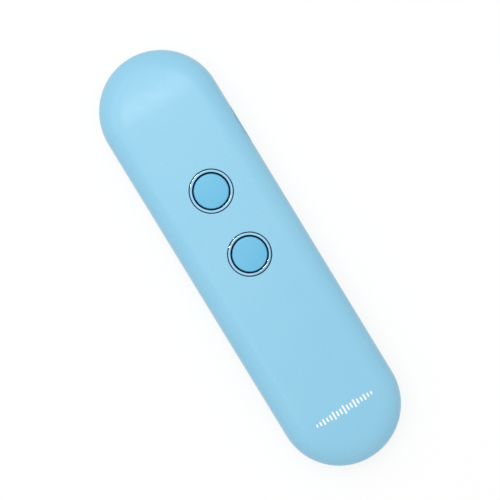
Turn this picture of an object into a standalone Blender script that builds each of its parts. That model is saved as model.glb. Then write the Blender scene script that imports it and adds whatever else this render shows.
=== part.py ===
"""Handheld voice translator.

A slim stick with round ends: two shells that meet in a tongue and groove, two ringed push
buttons on the front, a slide switch in the right side, a charging socket at the lower end and a
speaker behind a grille in the rear.

Lengths are in metres. X runs across the width, Y along the length towards the speaker end and Z
out of the front face. The part lies on its flat rear, with the origin under its middle.
"""

import math

import bmesh
import bpy
from mathutils import Matrix, Vector

# Housing
LENGTH = 0.1400
WIDTH = 0.0373
WALL = 0.0014
FIT_GAP = 0.0003
PARTING_HEIGHT = 0.0050
FACE_CROWN = 0.0003
FRONT_EDGE_RUN = 0.0070
KNEE_RUN = 0.0200
END_DROP = 0.0025
REAR_EDGE_RUN = 0.0040
REAR_EDGE_RISE = 0.0035
TONGUE_DEPTH = 0.0010
TONGUE_THICKNESS = 0.00055
SEAM_CHAMFER = 0.0002
CUT_OVERRUN = 0.0010

# Stack from the rear wall up to the face
FOAM_THICKNESS = 0.0004
BATTERY_THICKNESS = 0.0032
BATTERY_SWELL_ROOM = 0.0005
BOARD_THICKNESS = 0.0008
SWITCH_HEIGHT = 0.0017
PLUNGER_STAND = 0.0006
PUSHER_LENGTH = 0.0011
CAP_SKIN = 0.0014
CAP_PROUD = 0.0003

# Buttons
LOWER_BUTTON_Y = 0.0013
BUTTON_SPACING = 0.0218
BUTTON_TRAVEL = 0.0005
CAP_RADIUS = 0.0052
CAP_EDGE_RADIUS = 0.0004
CAP_WALL = 0.0012
CAP_FLANGE_WIDTH = 0.0013
CAP_FLANGE_THICKNESS = 0.0006
PUSHER_RADIUS = 0.0012
CAP_TO_RING_GAP = 0.0005
RING_WALL = 0.0007
RING_PROUD = 0.0001
RING_EDGE_RADIUS = 0.0002
RING_FLANGE_WIDTH = 0.0013
RING_FLANGE_THICKNESS = 0.00085
RING_SEAT_WALL = 0.0008
SWITCH_WIDTH = 0.0052
SWITCH_FLOOR = 0.0004
PLUNGER_RADIUS = 0.0010

# Places along the length, from the ends of the housing
SPEAKER_END_DISTANCE = 0.0260
TOP_SCREW_END_DISTANCE = 0.0095
LOW_SCREW_END_DISTANCE = 0.0210
MIDDLE_SCREW_TO_SPEAKER = 0.0170
BATTERY_TO_MIDDLE_SCREW = 0.0070
BATTERY_TO_LOW_SCREW = 0.0130
BATTERY_CORNER_RADIUS = 0.0015

# Board and its screws
BOARD_INSET = 0.0034
SCREW_EDGE_DISTANCE = 0.0072
TOP_SCREW_EDGE_DISTANCE = 0.0116
SCREW_SHANK_RADIUS = 0.0007
SCREW_HEAD_RADIUS = 0.0015
SCREW_HEAD_HEIGHT = 0.0009
SCREW_BITE = 0.0018
BOSS_WALL = 0.0010

# Battery cradle ribs
RIB_THICKNESS = 0.0009
RIB_HEIGHT = 0.0026
END_RIB_LENGTH = 0.0180
SIDE_RIB_LENGTH = 0.0090

# Speaker
SPEAKER_RADIUS = 0.0100
SPEAKER_HEIGHT = 0.0023
SPEAKER_RIM_WIDTH = 0.0015
SPEAKER_RIM_HEIGHT = 0.0007
SPEAKER_BACK_RADIUS = 0.0074
MAGNET_RADIUS = 0.0060
MAGNET_HEIGHT = 0.0016
DIAPHRAGM_THICKNESS = 0.00025
DOME_RADIUS = 0.0042
GASKET_WIDTH = 0.0023
GASKET_THICKNESS = 0.0004
DUST_MESH_THICKNESS = 0.0002
SPEAKER_SEAT_WALL = 0.0008
SPEAKER_SEAT_HEIGHT = 0.0028
GRILLE_HOLE_RADIUS = 0.0006
GRILLE_RING_PITCH = 0.0021

# Charging socket, sharing its height with the openings beside it
SOCKET_WIDTH = 0.00894
SOCKET_HEIGHT = 0.00326
SOCKET_DEPTH = 0.0073
SOCKET_WALL = 0.0003
SOCKET_CORNER_RADIUS = 0.0012
SOCKET_RECESS = 0.0010
SOCKET_TONGUE_WIDTH = 0.0067
SOCKET_TONGUE_HEIGHT = 0.0007
SOCKET_TONGUE_SETBACK = 0.0008
SOCKET_BLOCK_DEPTH = 0.0016

# Microphones, status light and their openings in the ends
END_HOLE_HEIGHT = 0.0033
SIDE_HOLE_OFFSET = 0.0080
MIC_WIDTH = 0.0030
MIC_LENGTH = 0.0022
MIC_HEIGHT = 0.0011
MIC_END_DISTANCE = 0.0100
SIDE_MIC_END_DISTANCE = 0.0110
BOOT_WIDTH = 0.0042
BOOT_LENGTH = 0.0050
BOOT_NECK_RADIUS = 0.0009
BOOT_BORE_RADIUS = 0.0005
BOOT_TO_WALL = 0.0008
LIGHT_END_DISTANCE = 0.0105
LIGHT_PIPE_RADIUS = 0.0008
LIGHT_PIPE_RECESS = 0.0002
LED_LENGTH = 0.0016
LED_WIDTH = 0.0012
LED_HEIGHT = 0.0006

# Slide switch in the right side
SLIDE_TO_SPEAKER = 0.0080
SLIDE_TRAVEL = 0.0020
KNOB_ABOVE_BOARD = 0.0007
KNOB_LENGTH = 0.0044
KNOB_HEIGHT = 0.0018
KNOB_FACE_INSET = 0.0009
KNOB_RIB_WIDTH = 0.0004
KNOB_RIB_DEPTH = 0.0002
PAD_FACE_INSET = 0.00265
PAD_DEPTH = 0.0012
PAD_MARGIN = 0.0007
KNOB_FLANGE_THICKNESS = 0.0012
KNOB_FLANGE_LAP = 0.0003
SCOOP_DEPTH = 0.00065
SCOOP_LENGTH = 0.0130
SCOOP_HEIGHT = 0.0040
NOTCH_DEPTH = 0.0029
SLIDE_BODY_LENGTH = 0.0067
SLIDE_BODY_DEPTH = 0.0027
SLIDE_BODY_HEIGHT = 0.0014
SLIDE_CHANNEL_DEPTH = 0.0012
LEVER_WIDTH = 0.0013
LEVER_HEIGHT = 0.0007
LEVER_REACH = 0.0005

# Leads and the battery's connector
LEAD_RADIUS = 0.0003
LEAD_SPACING = 0.0024
HEADER_WIDTH = 0.0052
HEADER_LENGTH = 0.0036
HEADER_HEIGHT = 0.0024
HEADER_TO_PLUG = 0.0003
PLUG_WIDTH = 0.0046
PLUG_LENGTH = 0.0030
PLUG_HEIGHT = 0.0018
PLUG_TO_BATTERY = 0.0070

# Parts on the board's front
PROCESSOR_WIDTH = 0.0080
PROCESSOR_HEIGHT = 0.0009
PROCESSOR_TO_BUTTON = 0.0153
MEMORY_WIDTH = 0.0050
MEMORY_LENGTH = 0.0060
MEMORY_HEIGHT = 0.0008
CRYSTAL_WIDTH = 0.0025
CRYSTAL_LENGTH = 0.0032
CRYSTAL_HEIGHT = 0.0007
PART_SPACING = 0.0020
SHIELD_WIDTH = 0.0150
SHIELD_LENGTH = 0.0120
SHIELD_HEIGHT = 0.0016
SHIELD_SHEET = 0.0003
SMALL_CHIP_WIDTH = 0.0038
SMALL_CHIP_HEIGHT = 0.0008
INDUCTOR_WIDTH = 0.0040
INDUCTOR_HEIGHT = 0.0016
ANTENNA_WIDTH = 0.0070
ANTENNA_LENGTH = 0.0022
ANTENNA_HEIGHT = 0.0012
ANTENNA_END_DISTANCE = 0.0110

# Spacing of the battery's side ribs, as a share of its length
SIDE_RIB_SPACING_SHARE = 0.6

# Shape of the rounded edges, as the power of their curve, and counts of facets
EDGE_POWER = 2.3
QUARTER_STEPS = 10
SIDE_STEPS = 4
OUTER_EDGE_STEPS = 7
INNER_EDGE_STEPS = 4
CROWN_STEPS = 3
ROUND_STEPS = 32
SMALL_ROUND_STEPS = 12
GRILLE_HOLE_STEPS = 8
GRILLE_RINGS = 3
BOARD_QUARTER_STEPS = 8
CORNER_STEPS = 4
LEAD_STEPS = 4

# Sizes that follow from the ones above
HALF_LENGTH = LENGTH / 2
HALF_WIDTH = WIDTH / 2
HALF_STRAIGHT = HALF_LENGTH - HALF_WIDTH
BATTERY_BOTTOM = WALL + FIT_GAP + FOAM_THICKNESS + FIT_GAP
BOARD_BOTTOM = BATTERY_BOTTOM + BATTERY_THICKNESS + BATTERY_SWELL_ROOM
BOARD_TOP = BOARD_BOTTOM + BOARD_THICKNESS
SWITCH_TOP = BOARD_TOP + FIT_GAP + SWITCH_HEIGHT
PLUNGER_TOP = SWITCH_TOP + PLUNGER_STAND
PUSHER_BOTTOM = PLUNGER_TOP + FIT_GAP
CAP_TOP = PUSHER_BOTTOM + PUSHER_LENGTH + CAP_SKIN
THICKNESS = CAP_TOP - CAP_PROUD
CEILING = THICKNESS - WALL

UPPER_BUTTON_Y = LOWER_BUTTON_Y + BUTTON_SPACING
BUTTONS = (("upper", UPPER_BUTTON_Y), ("lower", LOWER_BUTTON_Y))
RING_BORE_RADIUS = CAP_RADIUS + CAP_TO_RING_GAP
RING_RADIUS = RING_BORE_RADIUS + RING_WALL
WELL_RADIUS = RING_RADIUS + FIT_GAP
RING_FLANGE_RADIUS = RING_RADIUS + RING_FLANGE_WIDTH
RING_SEAT_BORE = RING_FLANGE_RADIUS + FIT_GAP
RING_SEAT_RADIUS = RING_SEAT_BORE + RING_SEAT_WALL

SPEAKER_Y = HALF_LENGTH - SPEAKER_END_DISTANCE
MIDDLE_SCREW_Y = SPEAKER_Y - MIDDLE_SCREW_TO_SPEAKER
BATTERY_END_Y = MIDDLE_SCREW_Y - BATTERY_TO_MIDDLE_SCREW
LOW_SCREW_Y = LOW_SCREW_END_DISTANCE - HALF_LENGTH
BATTERY_START_Y = LOW_SCREW_Y + BATTERY_TO_LOW_SCREW
BATTERY_LENGTH = BATTERY_END_Y - BATTERY_START_Y
BATTERY_Y = (BATTERY_END_Y + BATTERY_START_Y) / 2
BATTERY_HALF_WIDTH = HALF_WIDTH - WALL - REAR_EDGE_RUN - FIT_GAP
SOCKET_HEIGHT_CENTRE = BOARD_BOTTOM - FIT_GAP - SOCKET_HEIGHT / 2
SLIDE_Y = SPEAKER_Y - SLIDE_TO_SPEAKER
SLIDE_Z = BOARD_TOP + KNOB_ABOVE_BOARD
PAD_FACE_X = HALF_WIDTH - PAD_FACE_INSET
SLOT_HALF_LENGTH = KNOB_LENGTH / 2 + SLIDE_TRAVEL / 2 + FIT_GAP
SLOT_HALF_HEIGHT = KNOB_HEIGHT / 2 + FIT_GAP
FLANGE_HALF_LENGTH = SLOT_HALF_LENGTH + SLIDE_TRAVEL / 2 + KNOB_FLANGE_LAP
FLANGE_HALF_HEIGHT = SLOT_HALF_HEIGHT + KNOB_FLANGE_LAP
KNOB_REST_Y = SLIDE_Y - SLIDE_TRAVEL / 2
NOTCH_X = HALF_WIDTH - BOARD_INSET - NOTCH_DEPTH
LEVER_Z = BOARD_TOP + FIT_GAP + SLIDE_BODY_HEIGHT / 2

# Screws through the board into the front shell, each by its x and y; the middle pair stand
# halfway between the button ring's seat and the board's edge
BOSS_BORE_RADIUS = SCREW_SHANK_RADIUS + FIT_GAP
BOSS_RADIUS = BOSS_BORE_RADIUS + BOSS_WALL
BOSS_BOTTOM = BOARD_TOP + FIT_GAP
SCREW_PLACES = tuple(
    (side * x, y)
    for x, y in (
        (HALF_WIDTH - TOP_SCREW_EDGE_DISTANCE, HALF_LENGTH - TOP_SCREW_END_DISTANCE),
        ((RING_SEAT_RADIUS + HALF_WIDTH - BOARD_INSET) / 2, MIDDLE_SCREW_Y),
        (HALF_WIDTH - SCREW_EDGE_DISTANCE, LOW_SCREW_Y),
    )
    for side in (-1, 1)
)

# Finishes: sRGB colour, roughness and metallic value
SATIN_BLUE = ((0.60, 0.83, 0.93), 0.45, 0.0)
CAP_BLUE = ((0.47, 0.79, 0.93), 0.38, 0.0)
PALE_CHROME = ((0.74, 0.88, 0.97), 0.12, 0.9)
STEEL = ((0.62, 0.63, 0.65), 0.30, 1.0)
BOARD_GREEN = ((0.05, 0.27, 0.16), 0.45, 0.0)
BLACK_PLASTIC = ((0.06, 0.06, 0.07), 0.50, 0.0)
CHIP_BLACK = ((0.09, 0.09, 0.10), 0.60, 0.0)
WHITE_NYLON = ((0.88, 0.87, 0.82), 0.50, 0.0)
FOIL_SILVER = ((0.75, 0.76, 0.78), 0.35, 0.6)
FOAM_GREY = ((0.20, 0.20, 0.21), 0.95, 0.0)
RUBBER_BLACK = ((0.08, 0.08, 0.08), 0.80, 0.0)
CLEAR_PLASTIC = ((0.86, 0.90, 0.92), 0.15, 0.0)
LEAD_RED = ((0.70, 0.06, 0.05), 0.50, 0.0)
LEAD_BLACK = ((0.04, 0.04, 0.04), 0.50, 0.0)
CERAMIC_CREAM = ((0.85, 0.82, 0.72), 0.50, 0.0)


def clear_scene():
    """Remove whatever the scene holds."""
    for old in list(bpy.data.objects):
        bpy.data.objects.remove(old, do_unlink=True)


# Outlines and solids

def linear(channel):
    """The linear value of one sRGB channel."""
    low_end, slope, offset, power = 0.04045, 12.92, 0.055, 2.4
    if channel <= low_end:
        return channel / slope
    return ((channel + offset) / (1 + offset)) ** power


def finish_material(name, finish):
    """A Principled material with the finish's colour, roughness and metallic value."""
    colour, roughness, metallic = finish
    material = bpy.data.materials.new(name)
    material.use_nodes = True
    shader = material.node_tree.nodes["Principled BSDF"]
    shader.inputs["Base Color"].default_value = (*[linear(channel) for channel in colour], 1.0)
    shader.inputs["Roughness"].default_value = roughness
    shader.inputs["Metallic"].default_value = metallic
    return material


def circle(radius, steps):
    """A circle's points, counter-clockwise."""
    return [
        (radius * math.cos(math.tau * step / steps), radius * math.sin(math.tau * step / steps))
        for step in range(steps)
    ]


def rounded_rectangle(width, height, radius, steps=CORNER_STEPS):
    """A rectangle with round corners, counter-clockwise."""
    points = []
    for corner in range(4):
        across = width / 2 - radius if corner in (0, 3) else radius - width / 2
        up = height / 2 - radius if corner in (0, 1) else radius - height / 2
        for step in range(steps + 1):
            angle = math.pi / 2 * (corner + step / steps)
            points.append((across + radius * math.cos(angle), up + radius * math.sin(angle)))
    return points


def stadium(half_width, half_straight, quarter_steps=QUARTER_STEPS, side_steps=SIDE_STEPS):
    """A strip with round ends, from its lower tip counter-clockwise, alike on both sides."""
    right = []
    for end, start_angle in ((-1, -math.pi / 2), (1, 0)):
        for step in range(quarter_steps + 1):
            angle = start_angle + math.pi / 2 * step / quarter_steps
            across = half_width * math.cos(angle)
            right.append((across, end * half_straight + half_width * math.sin(angle)))
        if end < 0:
            right += [
                (half_width, half_straight * (2 * step / side_steps - 1))
                for step in range(1, side_steps)
            ]
    left = [(-x, y) for x, y in reversed(right[1:-1])]
    return right + left


def add_loft(shape, rings, closed=False):
    """Skin a series of rings with as many points each, and return their vertices."""
    made = [[shape.verts.new(point) for point in ring] for ring in rings]
    pairs = list(zip(made, made[1:]))
    if closed:
        pairs.append((made[-1], made[0]))
    for lower, upper in pairs:
        for index in range(len(lower)):
            after = (index + 1) % len(lower)
            shape.faces.new((lower[index], lower[after], upper[after], upper[index]))
    return made


def add_strips(shape, ring):
    """Close a ring that is alike on both sides with strips from side to side."""
    count = len(ring)
    half = count // 2
    shape.faces.new((ring[0], ring[1], ring[count - 1]))
    for index in range(1, half - 1):
        shape.faces.new((ring[index], ring[index + 1], ring[count - index - 1], ring[count - index]))
    shape.faces.new((ring[half - 1], ring[half], ring[half + 1]))


def add_prism(shape, outline, low, high, turn=None):
    """A straight prism on an outline, from low to high along Z, then turned."""
    rings = [[(x, y, height) for x, y in outline] for height in (low, high)]
    made = add_loft(shape, rings)
    for ring in made:
        shape.faces.new(ring)
    if turn is not None:
        bmesh.ops.transform(shape, matrix=turn, verts=[vertex for ring in made for vertex in ring])


def add_block(shape, low, high):
    """A box between two corners."""
    outline = [(low[0], low[1]), (high[0], low[1]), (high[0], high[1]), (low[0], high[1])]
    add_prism(shape, outline, low[2], high[2])


def add_turned(shape, profile, steps=ROUND_STEPS, turn=None):
    """A solid turned about Z from (radius, height) points; the ends either both lie on the axis
    or the profile closes on itself around a bore."""
    solid = profile[0][0] == 0
    rings = [
        [(x, y, height) for x, y in circle(radius, steps)]
        for radius, height in profile
        if radius > 0
    ]
    made = add_loft(shape, rings, closed=not solid)
    vertices = [vertex for ring in made for vertex in ring]
    if solid:
        for ring, height in ((made[0], profile[0][1]), (made[-1], profile[-1][1])):
            pole = shape.verts.new((0, 0, height))
            vertices.append(pole)
            for index in range(steps):
                shape.faces.new((ring[index], ring[(index + 1) % steps], pole))
    if turn is not None:
        bmesh.ops.transform(shape, matrix=turn, verts=vertices)


def along_y(x, z):
    """A turn that lays a solid made along Z down along Y, at the given x and height."""
    return Matrix.Translation((x, 0, z)) @ Matrix.Rotation(-math.pi / 2, 4, "X")


def make_object(name, shape, finish=None, origin=(0, 0, 0), smooth_angle=35):
    """Turn a shape drawn in world coordinates into an object whose origin is at the given point."""
    bmesh.ops.recalc_face_normals(shape, faces=shape.faces)
    mesh = bpy.data.meshes.new(name)
    shape.to_mesh(mesh)
    shape.free()
    mesh.transform(Matrix.Translation(-Vector(origin)))
    made = bpy.data.objects.new(name, mesh)
    made.location = origin
    bpy.context.scene.collection.objects.link(made)
    if finish is not None:
        mesh.materials.append(finish_material(name + "_finish", finish))
        mesh.shade_smooth()
        mesh.set_sharp_from_angle(angle=math.radians(smooth_angle))
    return made


def combine(target, tool, operation):
    """Add a Boolean to the target, with its tool kept as a hidden guide."""
    tool.hide_render = True
    tool.display_type = "WIRE"
    boolean = target.modifiers.new(tool.name, "BOOLEAN")
    boolean.operation = operation
    boolean.object = tool
    boolean.solver = "EXACT"


def lead(name, finish, route):
    """A round lead along a smooth curve through the points of its route."""
    curve = bpy.data.curves.new(name, "CURVE")
    curve.dimensions = "3D"
    curve.bevel_depth = LEAD_RADIUS
    curve.bevel_resolution = 2
    curve.use_fill_caps = True
    points = [Vector(point) for point in route]
    padded = [2 * points[0] - points[1], *points, 2 * points[-1] - points[-2]]
    path = [points[0]]
    for before, start, end, after in zip(padded, padded[1:], padded[2:], padded[3:]):
        for step in range(1, LEAD_STEPS + 1):
            share = step / LEAD_STEPS
            path.append(smooth_point(before, start, end, after, share))
    spline = curve.splines.new("POLY")
    spline.points.add(len(path) - 1)
    for point, place in zip(spline.points, path):
        point.co = (*place, 1)
    made = bpy.data.objects.new(name, curve)
    bpy.context.scene.collection.objects.link(made)
    curve.materials.append(finish_material(name + "_finish", finish))


def smooth_point(before, start, end, after, share):
    """A point between start and end on a Catmull-Rom curve."""
    square, cube = share ** 2, share ** 3
    return (
        before * (2 * square - cube - share)
        + start * (3 * cube - 5 * square + 2)
        + end * (4 * square - 3 * cube + share)
        + after * (cube - square)
    ) / 2


# Surfaces of the housing

def end_drop(y):
    """How far the face has bent down where it nears a tip."""
    past_knee = max(0, abs(y) - (HALF_LENGTH - KNEE_RUN))
    return END_DROP * (past_knee / KNEE_RUN) ** 2


def face_height(x, y, depth=0):
    """Height of the front face away from its rounded edge, or of a surface some depth below it."""
    return THICKNESS - depth - FACE_CROWN * (x / HALF_WIDTH) ** 2 - end_drop(y)


def front_rings(depth, edge_steps):
    """Rings of the front shell's surface at a depth below its skin, from its rim to its crown."""
    rings = []
    for step in range(edge_steps + 1):
        angle = math.pi / 2 * step / edge_steps
        inset = depth + FRONT_EDGE_RUN * (1 - math.cos(angle) ** (2 / EDGE_POWER))
        rings.append(front_ring(inset, math.sin(angle) ** (2 / EDGE_POWER), depth))
    flat_width = HALF_WIDTH - depth - FRONT_EDGE_RUN
    for step in range(1, CROWN_STEPS):
        inset = depth + FRONT_EDGE_RUN + flat_width * step / CROWN_STEPS
        rings.append(front_ring(inset, 1, depth))
    return rings


def front_ring(inset, rise_share, depth):
    """One ring, at an inset from the outline, at a share of the rise above the parting plane."""
    return [
        (x, y, PARTING_HEIGHT + rise_share * (face_height(x, y, depth) - PARTING_HEIGHT))
        for x, y in stadium(HALF_WIDTH - inset, HALF_STRAIGHT)
    ]


def rear_rings(depth, edge_steps):
    """Rings of the rear shell's surface at a depth inside its skin, from its side to its floor."""
    rings = []
    for step in range(edge_steps + 1):
        angle = math.pi / 2 * step / edge_steps
        inset = depth + REAR_EDGE_RUN * (1 - math.cos(angle) ** (2 / EDGE_POWER))
        drop = (REAR_EDGE_RISE - depth) * math.sin(angle) ** (2 / EDGE_POWER)
        rings.append(flat_ring(inset, REAR_EDGE_RISE - drop))
    return rings


def flat_ring(inset, height):
    """A level ring at an inset from the outline."""
    return [(x, y, height) for x, y in stadium(HALF_WIDTH - inset, HALF_STRAIGHT)]


def end_y(x, inset):
    """How far along the length the round end lies at x, at an inset from the outline."""
    return HALF_STRAIGHT + math.sqrt((HALF_WIDTH - inset) ** 2 - x ** 2)


# Front shell: bosses, button wells, ring seats and the slide switch's pad

def front_shell():
    """The front half of the housing, with what it carries inside and the holes through it."""
    shape = bmesh.new()
    inner = front_rings(WALL, INNER_EDGE_STEPS)
    outer = front_rings(0, OUTER_EDGE_STEPS)
    lip = WALL - TONGUE_THICKNESS
    tongue_bottom = PARTING_HEIGHT - TONGUE_DEPTH
    rim = [
        flat_ring(WALL, tongue_bottom),
        flat_ring(lip, tongue_bottom),
        flat_ring(lip, PARTING_HEIGHT),
        flat_ring(SEAM_CHAMFER, PARTING_HEIGHT),
    ]
    outer[0] = flat_ring(0, PARTING_HEIGHT + SEAM_CHAMFER)
    made = add_loft(shape, inner[::-1] + rim + outer)
    add_strips(shape, made[0])
    add_strips(shape, made[-1])
    shell = make_object("front_shell", shape, SATIN_BLUE)
    combine(shell, screw_bosses(), "UNION")
    combine(shell, ring_seats(), "UNION")
    combine(shell, slide_pad(), "UNION")
    combine(shell, front_cuts(), "DIFFERENCE")
    combine(shell, slide_pocket(), "DIFFERENCE")
    combine(shell, slide_slot(), "DIFFERENCE")
    combine(shell, slide_scoop(), "DIFFERENCE")
    combine(shell, end_openings("front_end_openings"), "DIFFERENCE")


def screw_bosses():
    """Bosses from the ceiling down to the board, one for each of its screws."""
    shape = bmesh.new()
    for x, y in SCREW_PLACES:
        top = face_height(x, y, WALL) + WALL / 2
        add_prism(shape, circle_at(x, y, BOSS_RADIUS), BOSS_BOTTOM, top)
    return make_object("screw_bosses", shape)


def ring_seats():
    """Low round walls under the ceiling that centre the button rings' flanges."""
    shape = bmesh.new()
    low = CEILING - RING_FLANGE_THICKNESS - FIT_GAP
    high = CEILING + WALL / 2
    profile = [
        (RING_SEAT_BORE, low),
        (RING_SEAT_RADIUS, low),
        (RING_SEAT_RADIUS, high),
        (RING_SEAT_BORE, high),
    ]
    for _, y in BUTTONS:
        add_turned(shape, profile, turn=Matrix.Translation((0, y, 0)))
    return make_object("ring_seats", shape)


def slide_pad():
    """A thick place in the side wall, with a flat inner face for the slide knob's flange."""
    shape = bmesh.new()
    half_length = FLANGE_HALF_LENGTH + SLIDE_TRAVEL / 2 + FIT_GAP + PAD_MARGIN
    low_z = SLIDE_Z - FLANGE_HALF_HEIGHT - FIT_GAP - PAD_MARGIN / 2
    add_block(
        shape,
        (PAD_FACE_X - PAD_MARGIN, SLIDE_Y - half_length, low_z),
        (PAD_FACE_X + PAD_DEPTH, SLIDE_Y + half_length, SLIDE_Z + FLANGE_HALF_HEIGHT),
    )
    return make_object("slide_pad", shape)


def circle_at(x, y, radius, steps=SMALL_ROUND_STEPS):
    """A circle's points about a centre."""
    return [(x + across, y + up) for across, up in circle(radius, steps)]


def front_cuts():
    """The button wells and the screws' pilot holes."""
    shape = bmesh.new()
    for _, y in BUTTONS:
        well = circle_at(0, y, WELL_RADIUS, ROUND_STEPS)
        add_prism(shape, well, CEILING - CUT_OVERRUN, THICKNESS + CUT_OVERRUN)
    for x, y in SCREW_PLACES:
        bore = circle_at(x, y, BOSS_BORE_RADIUS)
        add_prism(shape, bore, BOSS_BOTTOM - CUT_OVERRUN, BOSS_BOTTOM + SCREW_BITE + FIT_GAP)
    return make_object("front_cuts", shape)


def slide_pocket():
    """The room behind the wall that the slide knob's flange moves in."""
    half_length = FLANGE_HALF_LENGTH + SLIDE_TRAVEL / 2 + FIT_GAP
    half_height = FLANGE_HALF_HEIGHT + FIT_GAP
    shape = bmesh.new()
    add_block(
        shape,
        (NOTCH_X, SLIDE_Y - half_length, SLIDE_Z - half_height),
        (PAD_FACE_X, SLIDE_Y + half_length, SLIDE_Z + half_height),
    )
    return make_object("slide_pocket", shape)


def slide_slot():
    """The slot through the wall that the slide knob's neck moves in."""
    shape = bmesh.new()
    add_block(
        shape,
        (PAD_FACE_X - CUT_OVERRUN, SLIDE_Y - SLOT_HALF_LENGTH, SLIDE_Z - SLOT_HALF_HEIGHT),
        (HALF_WIDTH + CUT_OVERRUN, SLIDE_Y + SLOT_HALF_LENGTH, SLIDE_Z + SLOT_HALF_HEIGHT),
    )
    return make_object("slide_slot", shape)


def slide_scoop():
    """A shallow finger scoop round the slide switch's slot."""
    shape = bmesh.new()
    steps = SMALL_ROUND_STEPS
    bmesh.ops.create_uvsphere(shape, u_segments=steps, v_segments=steps, radius=1)
    bmesh.ops.scale(shape, vec=(SCOOP_DEPTH, SCOOP_LENGTH / 2, SCOOP_HEIGHT / 2), verts=shape.verts)
    surface_x = HALF_WIDTH - SEAM_CHAMFER
    bmesh.ops.translate(shape, vec=(surface_x, SLIDE_Y, SLIDE_Z), verts=shape.verts)
    return make_object("slide_scoop", shape)


# Rear shell: battery cradle, speaker seat, grille and the openings in both ends

def rear_shell():
    """The rear half of the housing, with its flat resting face."""
    shape = bmesh.new()
    groove_inset = WALL - TONGUE_THICKNESS - FIT_GAP
    groove_bottom = PARTING_HEIGHT - TONGUE_DEPTH - FIT_GAP
    rim_top = PARTING_HEIGHT - FIT_GAP
    rim = [
        flat_ring(WALL, groove_bottom),
        flat_ring(groove_inset, groove_bottom),
        flat_ring(groove_inset, rim_top),
        flat_ring(SEAM_CHAMFER, rim_top),
        flat_ring(0, rim_top - SEAM_CHAMFER),
    ]
    inner = rear_rings(WALL, INNER_EDGE_STEPS)
    outer = rear_rings(0, INNER_EDGE_STEPS + 1)
    made = add_loft(shape, inner[::-1] + rim + outer)
    add_strips(shape, made[0])
    add_strips(shape, made[-1])
    shell = make_object("rear_shell", shape, SATIN_BLUE)
    combine(shell, rear_fittings(), "UNION")
    combine(shell, grille_holes(), "DIFFERENCE")
    combine(shell, end_openings("rear_end_openings"), "DIFFERENCE")


def rear_fittings():
    """Ribs round the battery and the wall that seats the speaker."""
    shape = bmesh.new()
    low = WALL / 2
    high = WALL + RIB_HEIGHT
    for edge, way in ((BATTERY_END_Y, 1), (BATTERY_START_Y, -1)):
        near, far = sorted((edge + way * FIT_GAP, edge + way * (FIT_GAP + RIB_THICKNESS)))
        add_block(shape, (-END_RIB_LENGTH / 2, near, low), (END_RIB_LENGTH / 2, far, high))
    inner_x = BATTERY_HALF_WIDTH + FIT_GAP
    for side in (-1, 1):
        near, far = sorted((side * inner_x, side * (inner_x + RIB_THICKNESS)))
        for way in (-1, 1):
            middle = BATTERY_Y + way * BATTERY_LENGTH * SIDE_RIB_SPACING_SHARE / 2
            start, end = middle - SIDE_RIB_LENGTH / 2, middle + SIDE_RIB_LENGTH / 2
            add_block(shape, (near, start, low), (far, end, high))
    bore = SPEAKER_RADIUS + FIT_GAP
    radius = bore + SPEAKER_SEAT_WALL
    top = WALL + SPEAKER_SEAT_HEIGHT
    profile = [(bore, low), (radius, low), (radius, top), (bore, top)]
    add_turned(shape, profile, turn=Matrix.Translation((0, SPEAKER_Y, 0)))
    return make_object("rear_fittings", shape)


def grille_holes():
    """Sound holes in rings about the speaker's axis, six more in each ring."""
    shape = bmesh.new()
    places = [(0, 0)]
    for ring in range(1, GRILLE_RINGS + 1):
        places += circle(ring * GRILLE_RING_PITCH, 6 * ring)
    for x, y in places:
        hole = circle_at(x, SPEAKER_Y + y, GRILLE_HOLE_RADIUS, GRILLE_HOLE_STEPS)
        add_prism(shape, hole, -CUT_OVERRUN, WALL + FIT_GAP / 2)
    return make_object("grille_holes", shape)


def end_openings(name):
    """The charging opening, both microphone holes and the status light's hole."""
    shape = bmesh.new()
    outside = HALF_LENGTH + CUT_OVERRUN
    charging = rounded_rectangle(
        SOCKET_WIDTH + 2 * FIT_GAP, SOCKET_HEIGHT + 2 * FIT_GAP, SOCKET_CORNER_RADIUS + FIT_GAP
    )
    inside = -end_y(SOCKET_WIDTH / 2, WALL) + CUT_OVERRUN
    add_prism(shape, charging, -outside, inside, along_y(0, SOCKET_HEIGHT_CENTRE))
    sound = circle(BOOT_BORE_RADIUS, SMALL_ROUND_STEPS // 2)
    add_prism(shape, sound, end_y(0, WALL) - CUT_OVERRUN, outside, along_y(0, END_HOLE_HEIGHT))
    side_inside = -end_y(SIDE_HOLE_OFFSET, WALL) + CUT_OVERRUN
    add_prism(shape, sound, -outside, side_inside, along_y(SIDE_HOLE_OFFSET, END_HOLE_HEIGHT))
    light = circle(LIGHT_PIPE_RADIUS + FIT_GAP, SMALL_ROUND_STEPS)
    add_prism(shape, light, -outside, side_inside, along_y(-SIDE_HOLE_OFFSET, END_HOLE_HEIGHT))
    return make_object(name, shape)


# Push buttons: ring, cap, switch body and plunger under each

def button_ring(name, y):
    """The bright ring: a tube through the face on a flange that bears on the shell's inside."""
    flange_top = face_height(RING_FLANGE_RADIUS, y, WALL) - FIT_GAP
    flange_bottom = flange_top - RING_FLANGE_THICKNESS
    top = THICKNESS + RING_PROUD
    profile = [
        (RING_BORE_RADIUS, flange_bottom),
        (RING_FLANGE_RADIUS, flange_bottom),
        (RING_FLANGE_RADIUS, flange_top),
        (RING_RADIUS, flange_top),
        (RING_RADIUS, top - RING_EDGE_RADIUS),
        (RING_RADIUS - RING_EDGE_RADIUS, top),
        (RING_BORE_RADIUS + RING_EDGE_RADIUS, top),
        (RING_BORE_RADIUS, top - RING_EDGE_RADIUS),
    ]
    shape = bmesh.new()
    add_turned(shape, profile, turn=Matrix.Translation((0, y, 0)))
    make_object(name, shape, PALE_CHROME, (0, y, flange_bottom))
    return flange_bottom


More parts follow.
